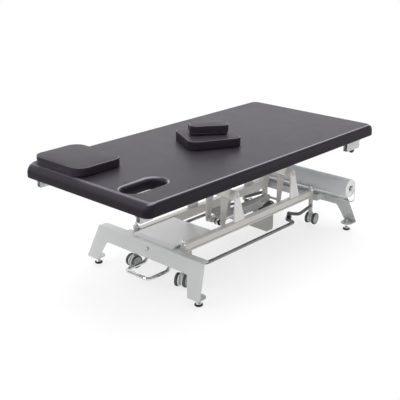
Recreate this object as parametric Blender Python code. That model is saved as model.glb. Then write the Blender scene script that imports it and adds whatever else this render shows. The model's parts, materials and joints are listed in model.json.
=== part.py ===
"""Electric bobath table: padded top on a parallelogram lift, with a folded sheet base on feet and castors.

Metres, +Z up, floor at z = 0. X runs along the top, the near end is -X and the front long side is -Y.
The lift stands at the height that it is shown at; every moving piece has its origin on its joint axis.
"""
import math

import bmesh
import bpy
from mathutils import Matrix, Vector

# Fits
SEAT_GAP = 0.0003          # between faces that rest on each other
RUN_GAP = 0.0003           # radial gap of a pin in its hole
ROUND_STEPS = 5            # facets of a quarter round on outlines

# Padded top
TOP_LENGTH = 2.050
TOP_WIDTH = 0.970
TOP_THICKNESS = 0.080
TOP_HEIGHT = 0.722
TOP_CORNER = 0.030
TOP_EDGE = 0.016
TOP_END_ROLL = 0.055         # radius of the roll-over at the two short ends
TOP_LOWER_EDGE = 0.006
TOP_CROWN = 0.0025
TOP_DRAW = 0.003
BOARD_THICKNESS = 0.015
BOARD_INSET = 0.018

# Face hole near the -X end
HOLE_FROM_END = 0.190        # near end of the top to the middle of the hole
HOLE_FROM_SIDE = 0.223       # front side of the top to the middle of the hole
HOLE_LENGTH = 0.262
HOLE_WIDTH = 0.112
HOLE_RIM = 0.013
HOLE_BOARD_EASE = 0.006

# Loose pads lying on the top
PILLOW_FROM_END = 0.1865     # near end of the top to the middle of the pillow
PILLOW_FROM_SIDE = 0.240     # rear side of the top to the middle of the pillow
PILLOW_LENGTH = 0.320
PILLOW_WIDTH = 0.404
PILLOW_HEIGHT = 0.054
PILLOW_CORNER = 0.072
PAD_X = -0.042
PAD_Y = 0.015
PAD_SIDE = 0.324
PAD_TURN = math.radians(-28.5)
PAD_HEIGHT = 0.060
PAD_CORNER = 0.055
PLUG_X = -0.047
PLUG_Y = 0.007
PLUG_TURN = math.radians(-38.0)
PLUG_LENGTH = 0.232
PLUG_WIDTH = 0.128
PLUG_HEIGHT = 0.050
PLUG_CORNER = 0.040
PLUG_NECK = 0.013
PLUG_NECK_INSET = 0.012
SOFT_EDGE = 0.011
SOFT_CROWN = 0.0035
SOFT_DRAW = 0.004

# Frame under the top
RAIL_MARGIN = 0.045          # rail's end behind the end of the top
CROSS_FROM_NEAR = 0.370
CROSS_FROM_FAR = 0.160
TUBE = 0.030
TUBE_EDGE = 0.003
SOCKET_FROM_SIDE = 0.093     # long side of the top to the middle of a socket
SOCKET_WIDTH = 0.030
SOCKET_FORMS = {             # setback from the top's end, length and height
    "near": (0.025, 0.085, 0.045),
    "far": (0.045, 0.145, 0.092),
}
SOCKET_WALL = 0.0025
KNOB_RADIUS = 0.018
KNOB_HEIGHT = 0.024
KNOB_STEM = 0.004
KNOB_SETBACK = 0.075

# Base
BASE_X = 0.146
FOOT_SPAN_X = 1.471
FOOT_SPAN_Y = 0.824
SHEET = 0.004
END_TOP_Z = 0.238
END_BEAM_Z = 0.160
LEG_FOOT_Z = 0.047
END_REACH_TOP = 0.706
END_REACH_FOOT = 0.781
END_HALF_TOP = 0.426
LEG_OUTER_FOOT = 0.460
LEG_INNER_FOOT = 0.368
LEG_INNER_TOP = 0.328
END_CORNER = 0.010
LEG_FILLET = 0.022
FLANGE_DEPTH = 0.052
BEAM_OUTER_Y = 0.200
BEAM_WIDTH = 0.040
BEAM_LOW_Z = 0.200
BEAM_HEIGHT = 0.055
BEAM_LIP = 0.015
BEAM_STEP = 0.006
CROSS_HALF = 0.240
CROSS_LOW_Z = 0.190
COVER_LENGTH = 0.310
COVER_TOP_Z = 0.250
COVER_SHEET = 0.003
COVER_FLANGE = 0.011
CONTROL_LENGTH = 0.200
CONTROL_WIDTH = 0.220
CONTROL_HEIGHT = 0.048

# Levelling feet
FOOT_RADIUS = 0.0235
FOOT_HEIGHT = 0.012
SCREW_RADIUS = 0.006
SCREW_ABOVE = 0.020
NUT_RADIUS = 0.011
NUT_HEIGHT = 0.009
BOLT_Z = 0.208
BOLT_RADIUS = 0.012
BOLT_HEAD = 0.006

# Castors
CASTOR_SPAN_X = 1.246
CASTOR_SPAN_Y = 0.384
CASTOR_TUBE = 0.015
CASTOR_TUBE_LOW = 0.128
CASTOR_TUBE_TOP = 0.272
CASTOR_STEM = 0.006
CASTOR_NUT_HEIGHT = 0.014
WHEEL_RADIUS = 0.040
WHEEL_WIDTH = 0.017
WHEEL_SPLIT = 0.034
WHEEL_CLEAR = 0.010
CASTOR_TRAIL = 0.022
CASTOR_PLATE = 0.012
AXLE_RADIUS = 0.004
CASTOR_HEADINGS = {          # direction that the wheels trail to, seen from above
    "near_front": math.radians(200),
    "near_rear": math.radians(176),
    "far_front": math.radians(4),
    "far_rear": math.radians(340),
}

# Lift linkage
PIVOT_NEAR_X = -0.010
PIVOT_FAR_X = 0.550
PIVOT_Z = 0.420
ARM_LENGTH = 0.400
ARM_ANGLE = math.radians(26.7)
ARM_Y = 0.140
ARM_THICK = 0.030
ARM_END = 0.022
TORSION_RADIUS = 0.030
SHAFT_RADIUS = 0.010
BRACKET_BASE = 0.096
BRACKET_HEAD = 0.020
BRACKET_PLATE = 0.008
BRACKET_EASE = 0.002         # lean of the bracket's -X edge
BRACKET_INSET = 0.006        # bracket's outer face behind the beam's outer face
EAR_Y = 0.170
EAR_PLATE = 0.008
EAR_HEAD = 0.024
EAR_REACH = 0.062            # from the upper pivot back to its cross tube
LEVER_LENGTH = 0.192
LEVER_LEAN = math.radians(6.0)
LEVER_FRONT_Y = -0.100
LEVER_REAR_Y = 0.020
LEVER_PLATE = 0.008
LEVER_ROOT = 0.037
LEVER_TIP = 0.019
LEVER_PIN = 0.008

# Drive
TIE_Y = -0.004
TIE_WIDTH = 0.030
TIE_HALF_HEIGHT = 0.017
TIE_WALL = 0.003
DRIVE_Y = -0.062
ROD_RADIUS = 0.010
ROD_EYE = 0.017
ROD_EYE_WIDTH = 0.022
ROD_LENGTH = 0.300
DRIVE_BODY_START = 0.160     # from the near lever pin to the drive body's mouth
DRIVE_BODY_LENGTH = 0.255
DRIVE_BODY_RADIUS = 0.022
DRIVE_CAP = 0.012
MOTOR_LENGTH = 0.130
MOTOR_WIDTH = 0.046
MOTOR_HEIGHT = 0.042
MOTOR_BACK = 0.116           # how far the motor stands out behind the drive body
ANCHOR_X = 0.337
ANCHOR_Z = 0.190
ANCHOR_PIN = 0.005
ANCHOR_EAR = 0.012
ANCHOR_EAR_PLATE = 0.005
SLOT_HALF_WIDTH = 0.015
SLOT_ABOVE = 0.004
SLOT_BELOW = 0.079
HANGER_PLATE = 0.010
HANGER_BORDER = 0.007
CRADLE_FLOOR_Z = 0.094
CRADLE_SHEET = 0.005
CRADLE_LENGTH = 0.066
CRADLE_TOP_LENGTH = 0.260
CRADLE_CORNER = 0.012

# Foot control bars
BAR_RADIUS = 0.011
BAR_BEND = 0.030
LUG_RADIUS = 0.018
LUG_PLATE = 0.008
U_PIVOT_X = -0.452
U_PIVOT_Z = 0.140
U_LOW_Z = 0.075
U_HALF_WIDTH = 0.094
U_KNEE_X = -0.505
U_FRONT_X = -0.660
U_STUB = 0.046
SIDE_PIVOT_Y = 0.180
SIDE_BAR_Y = 0.258
SIDE_BAR_Z = 0.124
SIDE_NEAR_X = -0.365
SIDE_FAR_X = 0.497
SIDE_STUB = 0.060            # stub's end beyond the bar's cranked end
ARM_RISE_Z = 0.026           # bar arm above the long bar
ARM_KNEE = (0.033, 0.056)    # bar arm's knee from its eye, along the beam and outwards
ARM_ROOT = 0.016             # bar arm's end from the castor tube's axis, along and outwards

# Paper roll
ROLL_X = 0.838
ROLL_Z = 0.310
ROLL_RADIUS = 0.060
ROLL_LENGTH = 0.900
ROLL_BORE = 0.019
WIRE_RADIUS = 0.005
WIRE_BEND = 0.013
WIRE_END_GAP = 0.008         # wire's clear distance beyond the roll's end face
WIRE_BACK = 0.042
WIRE_LOW_Z = 0.215
WIRE_TAIL_Y = 0.300
SPINDLE_RECESS = 0.010

# Sizes worked out from the above
TOP_LOW_Z = TOP_HEIGHT - TOP_THICKNESS
HOLE_X = HOLE_FROM_END - TOP_LENGTH / 2
HOLE_Y = HOLE_FROM_SIDE - TOP_WIDTH / 2
PILLOW_X = PILLOW_FROM_END - TOP_LENGTH / 2
PILLOW_Y = TOP_WIDTH / 2 - PILLOW_FROM_SIDE
RAIL_LENGTH = TOP_LENGTH - 2 * RAIL_MARGIN
CROSS_NEAR_X = CROSS_FROM_NEAR - TOP_LENGTH / 2
CROSS_FAR_X = TOP_LENGTH / 2 - CROSS_FROM_FAR
SOCKET_Y = TOP_WIDTH / 2 - SOCKET_FROM_SIDE
RAIL_SPACING = 2 * (SOCKET_Y - SOCKET_WIDTH / 2 - SEAT_GAP) - TUBE
FRAME_TOP_Z = TOP_LOW_Z - SEAT_GAP
FOOT_X = FOOT_SPAN_X / 2
FOOT_Y = FOOT_SPAN_Y / 2
BEAM_TOP_Z = BEAM_LOW_Z + BEAM_HEIGHT
BEAM_INNER_Y = BEAM_OUTER_Y - BEAM_WIDTH
CASTOR_Y = CASTOR_SPAN_Y / 2
CASTOR_NEAR_X = BASE_X - CASTOR_SPAN_X / 2
CASTOR_FAR_X = BASE_X + CASTOR_SPAN_X / 2
WHEEL_Z = WHEEL_RADIUS + WHEEL_CLEAR
ARM_RUN = ARM_LENGTH * math.cos(ARM_ANGLE)
ARM_RISE = ARM_LENGTH * math.sin(ARM_ANGLE)
UPPER_Z = PIVOT_Z + ARM_RISE
UPPER_NEAR_X = PIVOT_NEAR_X - ARM_RUN
UPPER_FAR_X = PIVOT_FAR_X - ARM_RUN
BRACKET_OUTER_Y = BEAM_OUTER_Y - BRACKET_INSET
BRACKET_INNER_Y = BRACKET_OUTER_Y - BRACKET_PLATE
LEVER_DX = -LEVER_LENGTH * math.sin(LEVER_LEAN)
LEVER_PIN_Z = PIVOT_Z - LEVER_LENGTH * math.cos(LEVER_LEAN)
PIN_NEAR_X = PIVOT_NEAR_X + LEVER_DX
PIN_FAR_X = PIVOT_FAR_X + LEVER_DX
PILLOW_LOW_Z = TOP_HEIGHT + SEAT_GAP
PLUG_LOW_Z = TOP_HEIGHT + SEAT_GAP + PAD_HEIGHT + SEAT_GAP
SIDE_LUG_X = SIDE_NEAR_X - SIDE_STUB + 2 * LUG_PLATE
SIDE_EYE_X = SIDE_FAR_X + SIDE_STUB - 2 * LUG_PLATE

AXIS_X = Vector((1, 0, 0))
AXIS_Y = Vector((0, 1, 0))
AXIS_Z = Vector((0, 0, 1))


def clear_scene():
    for item in list(bpy.data.objects):
        bpy.data.objects.remove(item, do_unlink=True)


def make_material(name, colour, roughness, metallic=0.0):
    material = bpy.data.materials.new(name)
    material.use_nodes = True
    shader = material.node_tree.nodes["Principled BSDF"]
    shader.inputs["Base Color"].default_value = (*colour, 1.0)
    shader.inputs["Roughness"].default_value = roughness
    shader.inputs["Metallic"].default_value = metallic
    return material


def finishes():
    return {
        "vinyl": make_material("charcoal_vinyl", (0.085, 0.078, 0.092), 0.42),
        "board": make_material("grey_plywood", (0.42, 0.42, 0.41), 0.70),
        "silver": make_material("silver_powder_coat", (0.47, 0.48, 0.48), 0.38, 0.25),
        "warm": make_material("warm_grey_powder_coat", (0.52, 0.50, 0.48), 0.42, 0.15),
        "chrome": make_material("bright_chrome", (0.75, 0.76, 0.78), 0.12, 1.0),
        "zinc": make_material("zinc_plated_steel", (0.55, 0.56, 0.58), 0.30, 1.0),
        "rubber": make_material("black_rubber", (0.02, 0.02, 0.02), 0.75),
        "tyre": make_material("grey_tyre", (0.10, 0.10, 0.105), 0.60),
        "black": make_material("black_plastic", (0.025, 0.025, 0.028), 0.40),
        "paper": make_material("roll_paper", (0.45, 0.46, 0.47), 0.85),
    }


# Outlines and meshes


def arc(centre, radius, start, end, steps):
    return [(centre[0] + radius * math.cos(start + (end - start) * i / steps),
             centre[1] + radius * math.sin(start + (end - start) * i / steps)) for i in range(steps + 1)]


def circle(centre, radius, steps=18):
    return arc(centre, radius, 0.0, 2 * math.pi, steps)[:-1]


def rounded(corners):
    """Closed outline from (x, y, radius) corners, each turned into a tangent arc."""
    outline = []
    for i, (x, y, radius) in enumerate(corners):
        here = Vector((x, y))
        back = (Vector(corners[i - 1][:2]) - here).normalized()
        ahead = (Vector(corners[(i + 1) % len(corners)][:2]) - here).normalized()
        if radius <= 0:
            outline.append((x, y))
            continue
        half = back.angle(ahead) / 2
        centre = here + (back + ahead).normalized() * radius / math.sin(half)
        first = here + back * radius / math.tan(half) - centre
        last = here + ahead * radius / math.tan(half) - centre
        for k in range(ROUND_STEPS + 1):
            spoke = first.lerp(last, k / ROUND_STEPS).normalized() * radius
            outline.append(tuple(centre + spoke))
    return outline


def hull(points):
    """Convex outline round a set of points."""
    ordered = sorted(set(points))

    def half(sequence):
        chain = []
        for p in sequence:
            while len(chain) > 1:
                (ax, ay), (bx, by) = chain[-2], chain[-1]
                if (bx - ax) * (p[1] - ay) - (by - ay) * (p[0] - ax) > 1e-12:
                    break
                chain.pop()
            chain.append(p)
        return chain[:-1]

    return half(ordered) + half(reversed(ordered))


def cushion_outline(length, width, corner, draw, inset):
    """Rounded rectangle whose sides draw in between the corners, counter-clockwise."""
    half_l, half_w = length / 2 - inset, width / 2 - inset
    radius = max(corner - inset, 0.002)
    outline = []
    sides = 4
    for k, (sx, sy) in enumerate(((1, 1), (-1, 1), (-1, -1), (1, -1))):
        centre = (sx * (half_l - radius), sy * (half_w - radius))
        start = k * math.pi / 2
        outline += arc(centre, radius, start, start + math.pi / 2, ROUND_STEPS)
        nx, ny = ((-1, 1), (-1, -1), (1, -1), (1, 1))[k]
        after = (nx * (half_l - radius), ny * (half_w - radius))
        normal = (math.cos(start + math.pi / 2), math.sin(start + math.pi / 2))
        for i in range(1, sides):
            t = i / sides
            pull = draw * math.sin(math.pi * t)
            x = centre[0] + (after[0] - centre[0]) * t + normal[0] * (radius - pull)
            y = centre[1] + (after[1] - centre[1]) * t + normal[1] * (radius - pull)
            outline.append((x, y))
    return outline


def loft(mesh, loops):
    """Skins closed loops of equal length and caps both ends."""
    rings = [[mesh.verts.new(p) for p in loop] for loop in loops]
    count = len(rings[0])
    for low, high in zip(rings, rings[1:]):
        for i in range(count):
            j = (i + 1) % count
            mesh.faces.new((low[i], low[j], high[j], high[i]))
    mesh.faces.new(list(reversed(rings[0])))
    mesh.faces.new(rings[-1])


def prism(mesh, outline, low, high, across):
    """Extrudes an outline along one axis: across 'x' reads (y, z), 'y' reads (x, z), 'z' reads (x, y)."""
    place = {
        "x": lambda p, h: (h, p[0], p[1]),
        "y": lambda p, h: (p[0], h, p[1]),
        "z": lambda p, h: (p[0], p[1], h),
    }
    loft(mesh, [[place[across](p, h) for p in outline] for h in (low, high)])


def block(mesh, low, high):
    outline = ((low[0], low[1]), (high[0], low[1]), (high[0], high[1]), (low[0], high[1]))
    prism(mesh, outline, low[2], high[2], "z")


def turned(mesh, profile, centre, axis, sides=20):
    """Revolves an open (radius, height) profile whose ends lie on the axis."""
    turn = AXIS_Z.rotation_difference(axis).to_matrix()
    rings = []
    for radius, height in profile:
        if radius == 0:
            rings.append([mesh.verts.new(Vector(centre) + turn @ Vector((0, 0, height)))])
        else:
            rings.append([mesh.verts.new(Vector(centre) + turn @ Vector((x, y, height)))
                          for x, y in circle((0, 0), radius, sides)])
    for low, high in zip(rings, rings[1:]):
        for i in range(sides):
            j = (i + 1) % sides
            corners = [low[i % len(low)], low[j % len(low)], high[j % len(high)], high[i % len(high)]]
            unique = list(dict.fromkeys(corners))
            mesh.faces.new(unique)


def bar(mesh, start, end, radius, sides=14):
    span = Vector(end) - Vector(start)
    turned(mesh, ((0, 0), (radius, 0), (radius, span.length), (0, span.length)), start, span.normalized(), sides)


def bent(points, radius, steps=4):
    """Points of a path whose inner corners are bent to a radius."""
    path = [Vector(points[0])]
    for before, here, after in zip(points, points[1:], points[2:]):
        here = Vector(here)
        back = (Vector(before) - here).normalized()
        ahead = (Vector(after) - here).normalized()
        half = back.angle(ahead) / 2
        centre = here + (back + ahead).normalized() * radius / math.sin(half)
        first = here + back * radius / math.tan(half) - centre
        last = here + ahead * radius / math.tan(half) - centre
        for k in range(steps + 1):
            path.append(centre + first.slerp(last, k / steps).normalized() * radius)
    path.append(Vector(points[-1]))
    return path


# Objects


def add_mesh(name, mesh, material, origin=(0, 0, 0)):
    """One named object whose origin lies at a chosen point."""
    bmesh.ops.recalc_face_normals(mesh, faces=mesh.faces)
    bmesh.ops.translate(mesh, verts=mesh.verts, vec=-Vector(origin))
    data = bpy.data.meshes.new(name)
    mesh.to_mesh(data)
    mesh.free()
    data.shade_smooth()
    data.set_sharp_from_angle(angle=math.radians(32))
    item = bpy.data.objects.new(name, data)
    item.location = origin
    bpy.context.scene.collection.objects.link(item)
    if material:
        data.materials.append(material)
    return item


def add_bar(name, points, radius, material, origin, sides=3):
    """Round bar along a path, with flat ends."""
    data = bpy.data.curves.new(name, "CURVE")
    data.dimensions = "3D"
    data.bevel_depth = radius
    data.bevel_resolution = sides
    data.use_fill_caps = True
    spline = data.splines.new("POLY")
    spline.points.add(len(points) - 1)
    for target, point in zip(spline.points, points):
        target.co = (*(Vector(point) - Vector(origin)), 1.0)
    item = bpy.data.objects.new(name, data)
    item.location = origin
    bpy.context.scene.collection.objects.link(item)
    data.materials.append(material)
    return item


def combine(item, operation, name, mesh):
    """Welds a mesh to an object, or cuts it out, with a hidden helper."""
    helper = add_mesh(item.name + "." + name, mesh, None)
    helper.hide_render = True
    helper.display_type = "WIRE"
    step = item.modifiers.new(name, "BOOLEAN")
    step.operation = operation
    step.solver = "EXACT"
    step.object = helper


def weld(item, name, mesh):
    combine(item, "UNION", name, mesh)


def cut(item, name, mesh):
    combine(item, "DIFFERENCE", name, mesh)


def drill(item, name, start, end, radius, sides=14):
    hole = bmesh.new()
    bar(hole, start, end, radius, sides)
    cut(item, name, hole)


# Padded top and its board


def stadium(length, width, offset):
    radius = width / 2 + offset
    straight = (length - width) / 2
    return (arc((HOLE_X + straight, HOLE_Y), radius, -math.pi / 2, math.pi / 2, 2 * ROUND_STEPS)
            + arc((HOLE_X - straight, HOLE_Y), radius, math.pi / 2, 3 * math.pi / 2, 2 * ROUND_STEPS))


def hole_cutter(low, high, offset, rim):
    """Straight face hole, opening out in a quarter round at its upper end."""
    loops = [[(x, y, low) for x, y in stadium(HOLE_LENGTH, HOLE_WIDTH, offset)]]
    for k in range(ROUND_STEPS + 1):
        turn = math.pi / 2 * k / ROUND_STEPS
        out = offset + rim * (1 - math.cos(turn))
        z = high - rim * (1 - math.sin(turn))
        loops.append([(x, y, z) for x, y in stadium(HOLE_LENGTH, HOLE_WIDTH, out)])
    lift = TOP_CROWN + rim
    loops.append([(x, y, high + lift) for x, y in stadium(HOLE_LENGTH, HOLE_WIDTH, offset + rim)])
    mesh = bmesh.new()
    loft(mesh, loops)
    return mesh


def edge_inset(z, radius):
    """How far an edge rounded to a radius stands back, at a height of the padded top."""
    rise = z - (TOP_HEIGHT - TOP_CROWN - radius)
    return radius - math.sqrt(max(radius ** 2 - rise ** 2, 0.0)) if rise > 0 else 0.0


def top_outline(inset_x, inset_y, draw=0.0):
    length, width = TOP_LENGTH - 2 * inset_x, TOP_WIDTH - 2 * inset_y
    return cushion_outline(length, width, TOP_CORNER - min(inset_x, inset_y) / 2, draw, 0.0)


def top_pad(material):
    """Padded top in its cover: roll-over ends, tighter long edges, a pocket underneath for the board."""
    low, shoulder = TOP_LOW_Z, TOP_HEIGHT - TOP_CROWN
    pocket = BOARD_INSET - SEAT_GAP
    ceiling = low + BOARD_THICKNESS + SEAT_GAP
    steps = [(pocket, pocket, ceiling, 0), (pocket, pocket, low, 0), (TOP_LOWER_EDGE, TOP_LOWER_EDGE, low, 0)]
    for k in range(1, 3):
        turn = math.pi / 2 * k / 2
        inset = TOP_LOWER_EDGE * (1 - math.sin(turn))
        steps.append((inset, inset, low + TOP_LOWER_EDGE * (1 - math.cos(turn)), 0))
    for k in range(8):
        z = shoulder - TOP_END_ROLL * (1 - math.sin(math.pi / 2 * k / 7))
        steps.append((edge_inset(z, TOP_END_ROLL), edge_inset(z, TOP_EDGE), z, 1 if k in (2, 3) else 0))
    flat_x, flat_y = TOP_END_ROLL + TOP_CORNER, TOP_EDGE + TOP_CORNER
    steps.append((flat_x, flat_y, TOP_HEIGHT - TOP_CROWN * 0.5, 0))
    steps.append((flat_x + TOP_WIDTH * 0.2, flat_y + TOP_WIDTH * 0.2, TOP_HEIGHT, 0))
    mesh = bmesh.new()
    loft(mesh, [[(x, y, z) for x, y in top_outline(inset_x, inset_y, TOP_DRAW * drawn)]
                for inset_x, inset_y, z, drawn in steps])
    pad = add_mesh("top_pad", mesh, material)
    cut(pad, "face_hole", hole_cutter(low - TOP_EDGE, TOP_HEIGHT, 0.0, HOLE_RIM))
    return pad


def top_board(material):
    mesh = bmesh.new()
    outline = top_outline(BOARD_INSET, BOARD_INSET)
    prism(mesh, outline, TOP_LOW_Z, TOP_LOW_Z + BOARD_THICKNESS, "z")
    board = add_mesh("top_board", mesh, material)
    cutter = bmesh.new()
    around = stadium(HOLE_LENGTH, HOLE_WIDTH, HOLE_BOARD_EASE)
    prism(cutter, around, TOP_LOW_Z - BOARD_THICKNESS, TOP_LOW_Z + 2 * BOARD_THICKNESS, "z")
    cut(board, "face_hole", cutter)


# Loose pads


def soft_steps(low, height, edge, crown):
    """(inset, height, drawn-in share) from the flat underside to the crowned upper face."""
    high = low + height - crown
    steps = [(edge * 0.7, low, 0.0), (edge * 0.2, low + edge * 0.35, 0.3), (0.0, low + edge, 0.6)]
    steps.append((0.0, low + height / 2, 1.0))
    for k in range(4):
        turn = math.pi / 2 * k / 3
        steps.append((edge * (1 - math.cos(turn)), high - edge * (1 - math.sin(turn)), 0.6 - 0.1 * k))
    return steps


def soft_pad(name, plan, corner, place, turn, low, height, material):
    length, width = plan
    spin = Matrix.Rotation(turn, 3, "Z")
    steps = soft_steps(low, height, SOFT_EDGE, SOFT_CROWN)
    top = low + height
    for share in (0.30, 0.62):
        rise = math.sin(math.pi / 2 * share)
        steps.append((SOFT_EDGE + (width / 2 - SOFT_EDGE) * share, top - SOFT_CROWN * (1 - rise), 0.2))
    loops = []
    for inset, z, drawn in steps:
        flat = cushion_outline(length, width, corner, SOFT_DRAW * drawn, inset)
        loops.append([Vector((place[0], place[1], z)) + spin @ Vector((x, y, 0)) for x, y in flat])
    mesh = bmesh.new()
    loft(mesh, loops)
    return add_mesh(name, mesh, material, (place[0], place[1], low))


def face_plug(material):
    """Lid that fills the face hole, lying upright on its narrower neck."""
    lid_low = PLUG_LOW_Z + PLUG_NECK
    plug = soft_pad("face_plug", (PLUG_LENGTH, PLUG_WIDTH), PLUG_CORNER, (PLUG_X, PLUG_Y), PLUG_TURN,
                    lid_low, PLUG_HEIGHT, material)
    plan = cushion_outline(PLUG_LENGTH, PLUG_WIDTH, PLUG_CORNER, 0.0, PLUG_NECK_INSET)
    spin = Matrix.Rotation(PLUG_TURN, 2)
    neck = [tuple(spin @ Vector(p) + Vector((PLUG_X, PLUG_Y))) for p in plan]
    mesh = bmesh.new()
    prism(mesh, neck, PLUG_LOW_Z, lid_low + PLUG_HEIGHT / 3, "z")
    weld(plug, "neck", mesh)


# Frame under the top


def tube_block(name, low, high, material):
    """Square tube with eased long edges, closed at its ends."""
    mesh = bmesh.new()
    along_x = high[0] - low[0] > high[1] - low[1]
    a, b = (low[1], high[1]) if along_x else (low[0], high[0])
    corners = [(a, low[2], TUBE_EDGE), (b, low[2], TUBE_EDGE), (b, high[2], TUBE_EDGE), (a, high[2], TUBE_EDGE)]
    span = (low[0], high[0]) if along_x else (low[1], high[1])
    prism(mesh, rounded(corners), *span, "x" if along_x else "y")
    return add_mesh(name, mesh, material)


def top_frame(silver):
    half, low = TUBE / 2, FRAME_TOP_Z - TUBE
    for side, sign in (("front", -1), ("rear", 1)):
        y = sign * RAIL_SPACING / 2
        tube_block("frame_rail_" + side, (-RAIL_LENGTH / 2, y - half, low),
                   (RAIL_LENGTH / 2, y + half, FRAME_TOP_Z), silver)
    reach = RAIL_SPACING / 2 - half - SEAT_GAP
    for end, x in (("near", CROSS_NEAR_X), ("far", CROSS_FAR_X)):
        tube_block("frame_cross_" + end, (x - half, -reach, low), (x + half, reach, FRAME_TOP_Z), silver)


def pivot_cross(end, pivot_x, silver):
    """Cross tube between the rails with two ears that hold the upper pivot of a lift arm."""
    x = pivot_x - EAR_REACH
    half = RAIL_SPACING / 2 - TUBE / 2 - SEAT_GAP
    cross = tube_block("pivot_cross_" + end, (x - TUBE / 2, -half, FRAME_TOP_Z - TUBE),
                       (x + TUBE / 2, half, FRAME_TOP_Z), silver)
    for side, sign in (("front", -1), ("rear", 1)):
        root = [(x - TUBE / 2, FRAME_TOP_Z - TUBE / 2), (x - TUBE / 2, FRAME_TOP_Z - TUBE - TUBE_EDGE)]
        outline = hull(root + circle((pivot_x, UPPER_Z), EAR_HEAD))
        mesh = bmesh.new()
        prism(mesh, outline, sign * EAR_Y - EAR_PLATE / 2, sign * EAR_Y + EAR_PLATE / 2, "y")
        weld(cross, "ear_" + side, mesh)
    drill(cross, "pivot_hole", (pivot_x, -half, UPPER_Z), (pivot_x, half, UPPER_Z), SHAFT_RADIUS + RUN_GAP)


def socket_span(end):
    """Near and far x of a socket, and the height of its underside."""
    setback, length, height = SOCKET_FORMS[end]
    if end == "near":
        start = setback - TOP_LENGTH / 2
    else:
        start = TOP_LENGTH / 2 - setback - length
    return start, start + length, FRAME_TOP_Z - height


def rail_socket(end, side, sign_y, silver):
    """Open box section under a corner of the top, that takes the bar of a side rail."""
    start, stop, low = socket_span(end)
    y, half = sign_y * SOCKET_Y, SOCKET_WIDTH / 2
    mesh = bmesh.new()
    block(mesh, (start, y - half, low), (stop, y + half, FRAME_TOP_Z))
    socket = add_mesh("rail_socket_%s_%s" % (end, side), mesh, silver)
    inside = bmesh.new()
    block(inside, (start - SOCKET_WIDTH, y - half + SOCKET_WALL, low + SOCKET_WALL),
          (stop + SOCKET_WIDTH, y + half - SOCKET_WALL, FRAME_TOP_Z - SOCKET_WALL))
    cut(socket, "passage", inside)
    return socket


def socket_knob(side, sign_y, socket, black):
    """Domed clamping knob with its screw through the floor of a far socket."""
    start, _, low = socket_span("far")
    x, y = start + KNOB_SETBACK, sign_y * SOCKET_Y
    face = low - SEAT_GAP
    drill(socket, "screw_hole", (x, y, face), (x, y, low + 2 * SOCKET_WALL), KNOB_STEM + RUN_GAP, 12)
    profile = [(0, SOCKET_WALL), (KNOB_STEM, SOCKET_WALL), (KNOB_STEM, 0), (KNOB_RADIUS * 0.9, 0),
               (KNOB_RADIUS, -KNOB_HEIGHT * 0.1)]
    for k in range(5):
        turn = math.pi / 2 * k / 5
        profile.append((KNOB_RADIUS * math.cos(turn), -KNOB_HEIGHT * (0.25 + 0.75 * math.sin(turn))))
    mesh = bmesh.new()
    turned(mesh, profile + [(0, -KNOB_HEIGHT)], (x, y, face), AXIS_Z, 14)
    add_mesh("socket_knob_" + side, mesh, black, (x, y, face))


# Base


def end_reach(z):
    """Distance of an end plate's outer face from the base's middle, at a height."""
    share = (z - LEG_FOOT_Z) / (END_TOP_Z - LEG_FOOT_Z)
    return END_REACH_FOOT + (END_REACH_TOP - END_REACH_FOOT) * share


def end_slant():
    return math.hypot(1.0, (END_REACH_FOOT - END_REACH_TOP) / (END_TOP_Z - LEG_FOOT_Z))


def end_frame(end, sign, silver):
    """Leaning folded sheet: outer plate with two splayed legs, a top flange and a rounded tab over each foot."""
    inward = -sign * SHEET * end_slant()
    half = [(LEG_INNER_TOP, END_BEAM_Z, LEG_FILLET), (LEG_INNER_FOOT, LEG_FOOT_Z, END_CORNER / 2),
            (LEG_OUTER_FOOT, LEG_FOOT_Z, END_CORNER), (END_HALF_TOP, END_TOP_Z, END_CORNER)]
    outline = rounded(half + [(-y, z, r) for y, z, r in reversed(half)])
    outer = [(BASE_X + sign * end_reach(z), y, z) for y, z in outline]
    inner = [(x + inward, y, z) for x, y, z in outer]
    mesh = bmesh.new()
    loft(mesh, [outer, inner])
    frame = add_mesh("end_frame_" + end, mesh, silver)

    edge = BASE_X + sign * (END_REACH_TOP - SHEET / 2)
    lip = BASE_X + sign * (END_REACH_TOP - FLANGE_DEPTH)
    flange = bmesh.new()
    prism(flange, rounded([(edge, -END_HALF_TOP + END_CORNER, 0), (lip, -END_HALF_TOP + END_CORNER, END_CORNER),
                           (lip, END_HALF_TOP - END_CORNER, END_CORNER), (edge, END_HALF_TOP - END_CORNER, 0)]),
          END_TOP_Z - SHEET, END_TOP_Z, "z")
    weld(frame, "top_flange", flange)
    for side, turn in (("front", -1), ("rear", 1)):
        centre = (BASE_X + sign * FOOT_X, turn * FOOT_Y)
        width = (LEG_OUTER_FOOT - LEG_INNER_FOOT) / 2 - END_CORNER / 2
        foot_edge = BASE_X + sign * (END_REACH_FOOT - SHEET / 2)
        around = hull(circle(centre, width) + [(foot_edge, centre[1] - width), (foot_edge, centre[1] + width)])
        tab = bmesh.new()
        prism(tab, around, LEG_FOOT_Z, LEG_FOOT_Z + SHEET, "z")
        weld(frame, "foot_tab_" + side, tab)
        drill(frame, "screw_hole_" + side, (*centre, LEG_FOOT_Z - SHEET), (*centre, LEG_FOOT_Z + 2 * SHEET),
              SCREW_RADIUS + RUN_GAP)
    return frame


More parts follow.
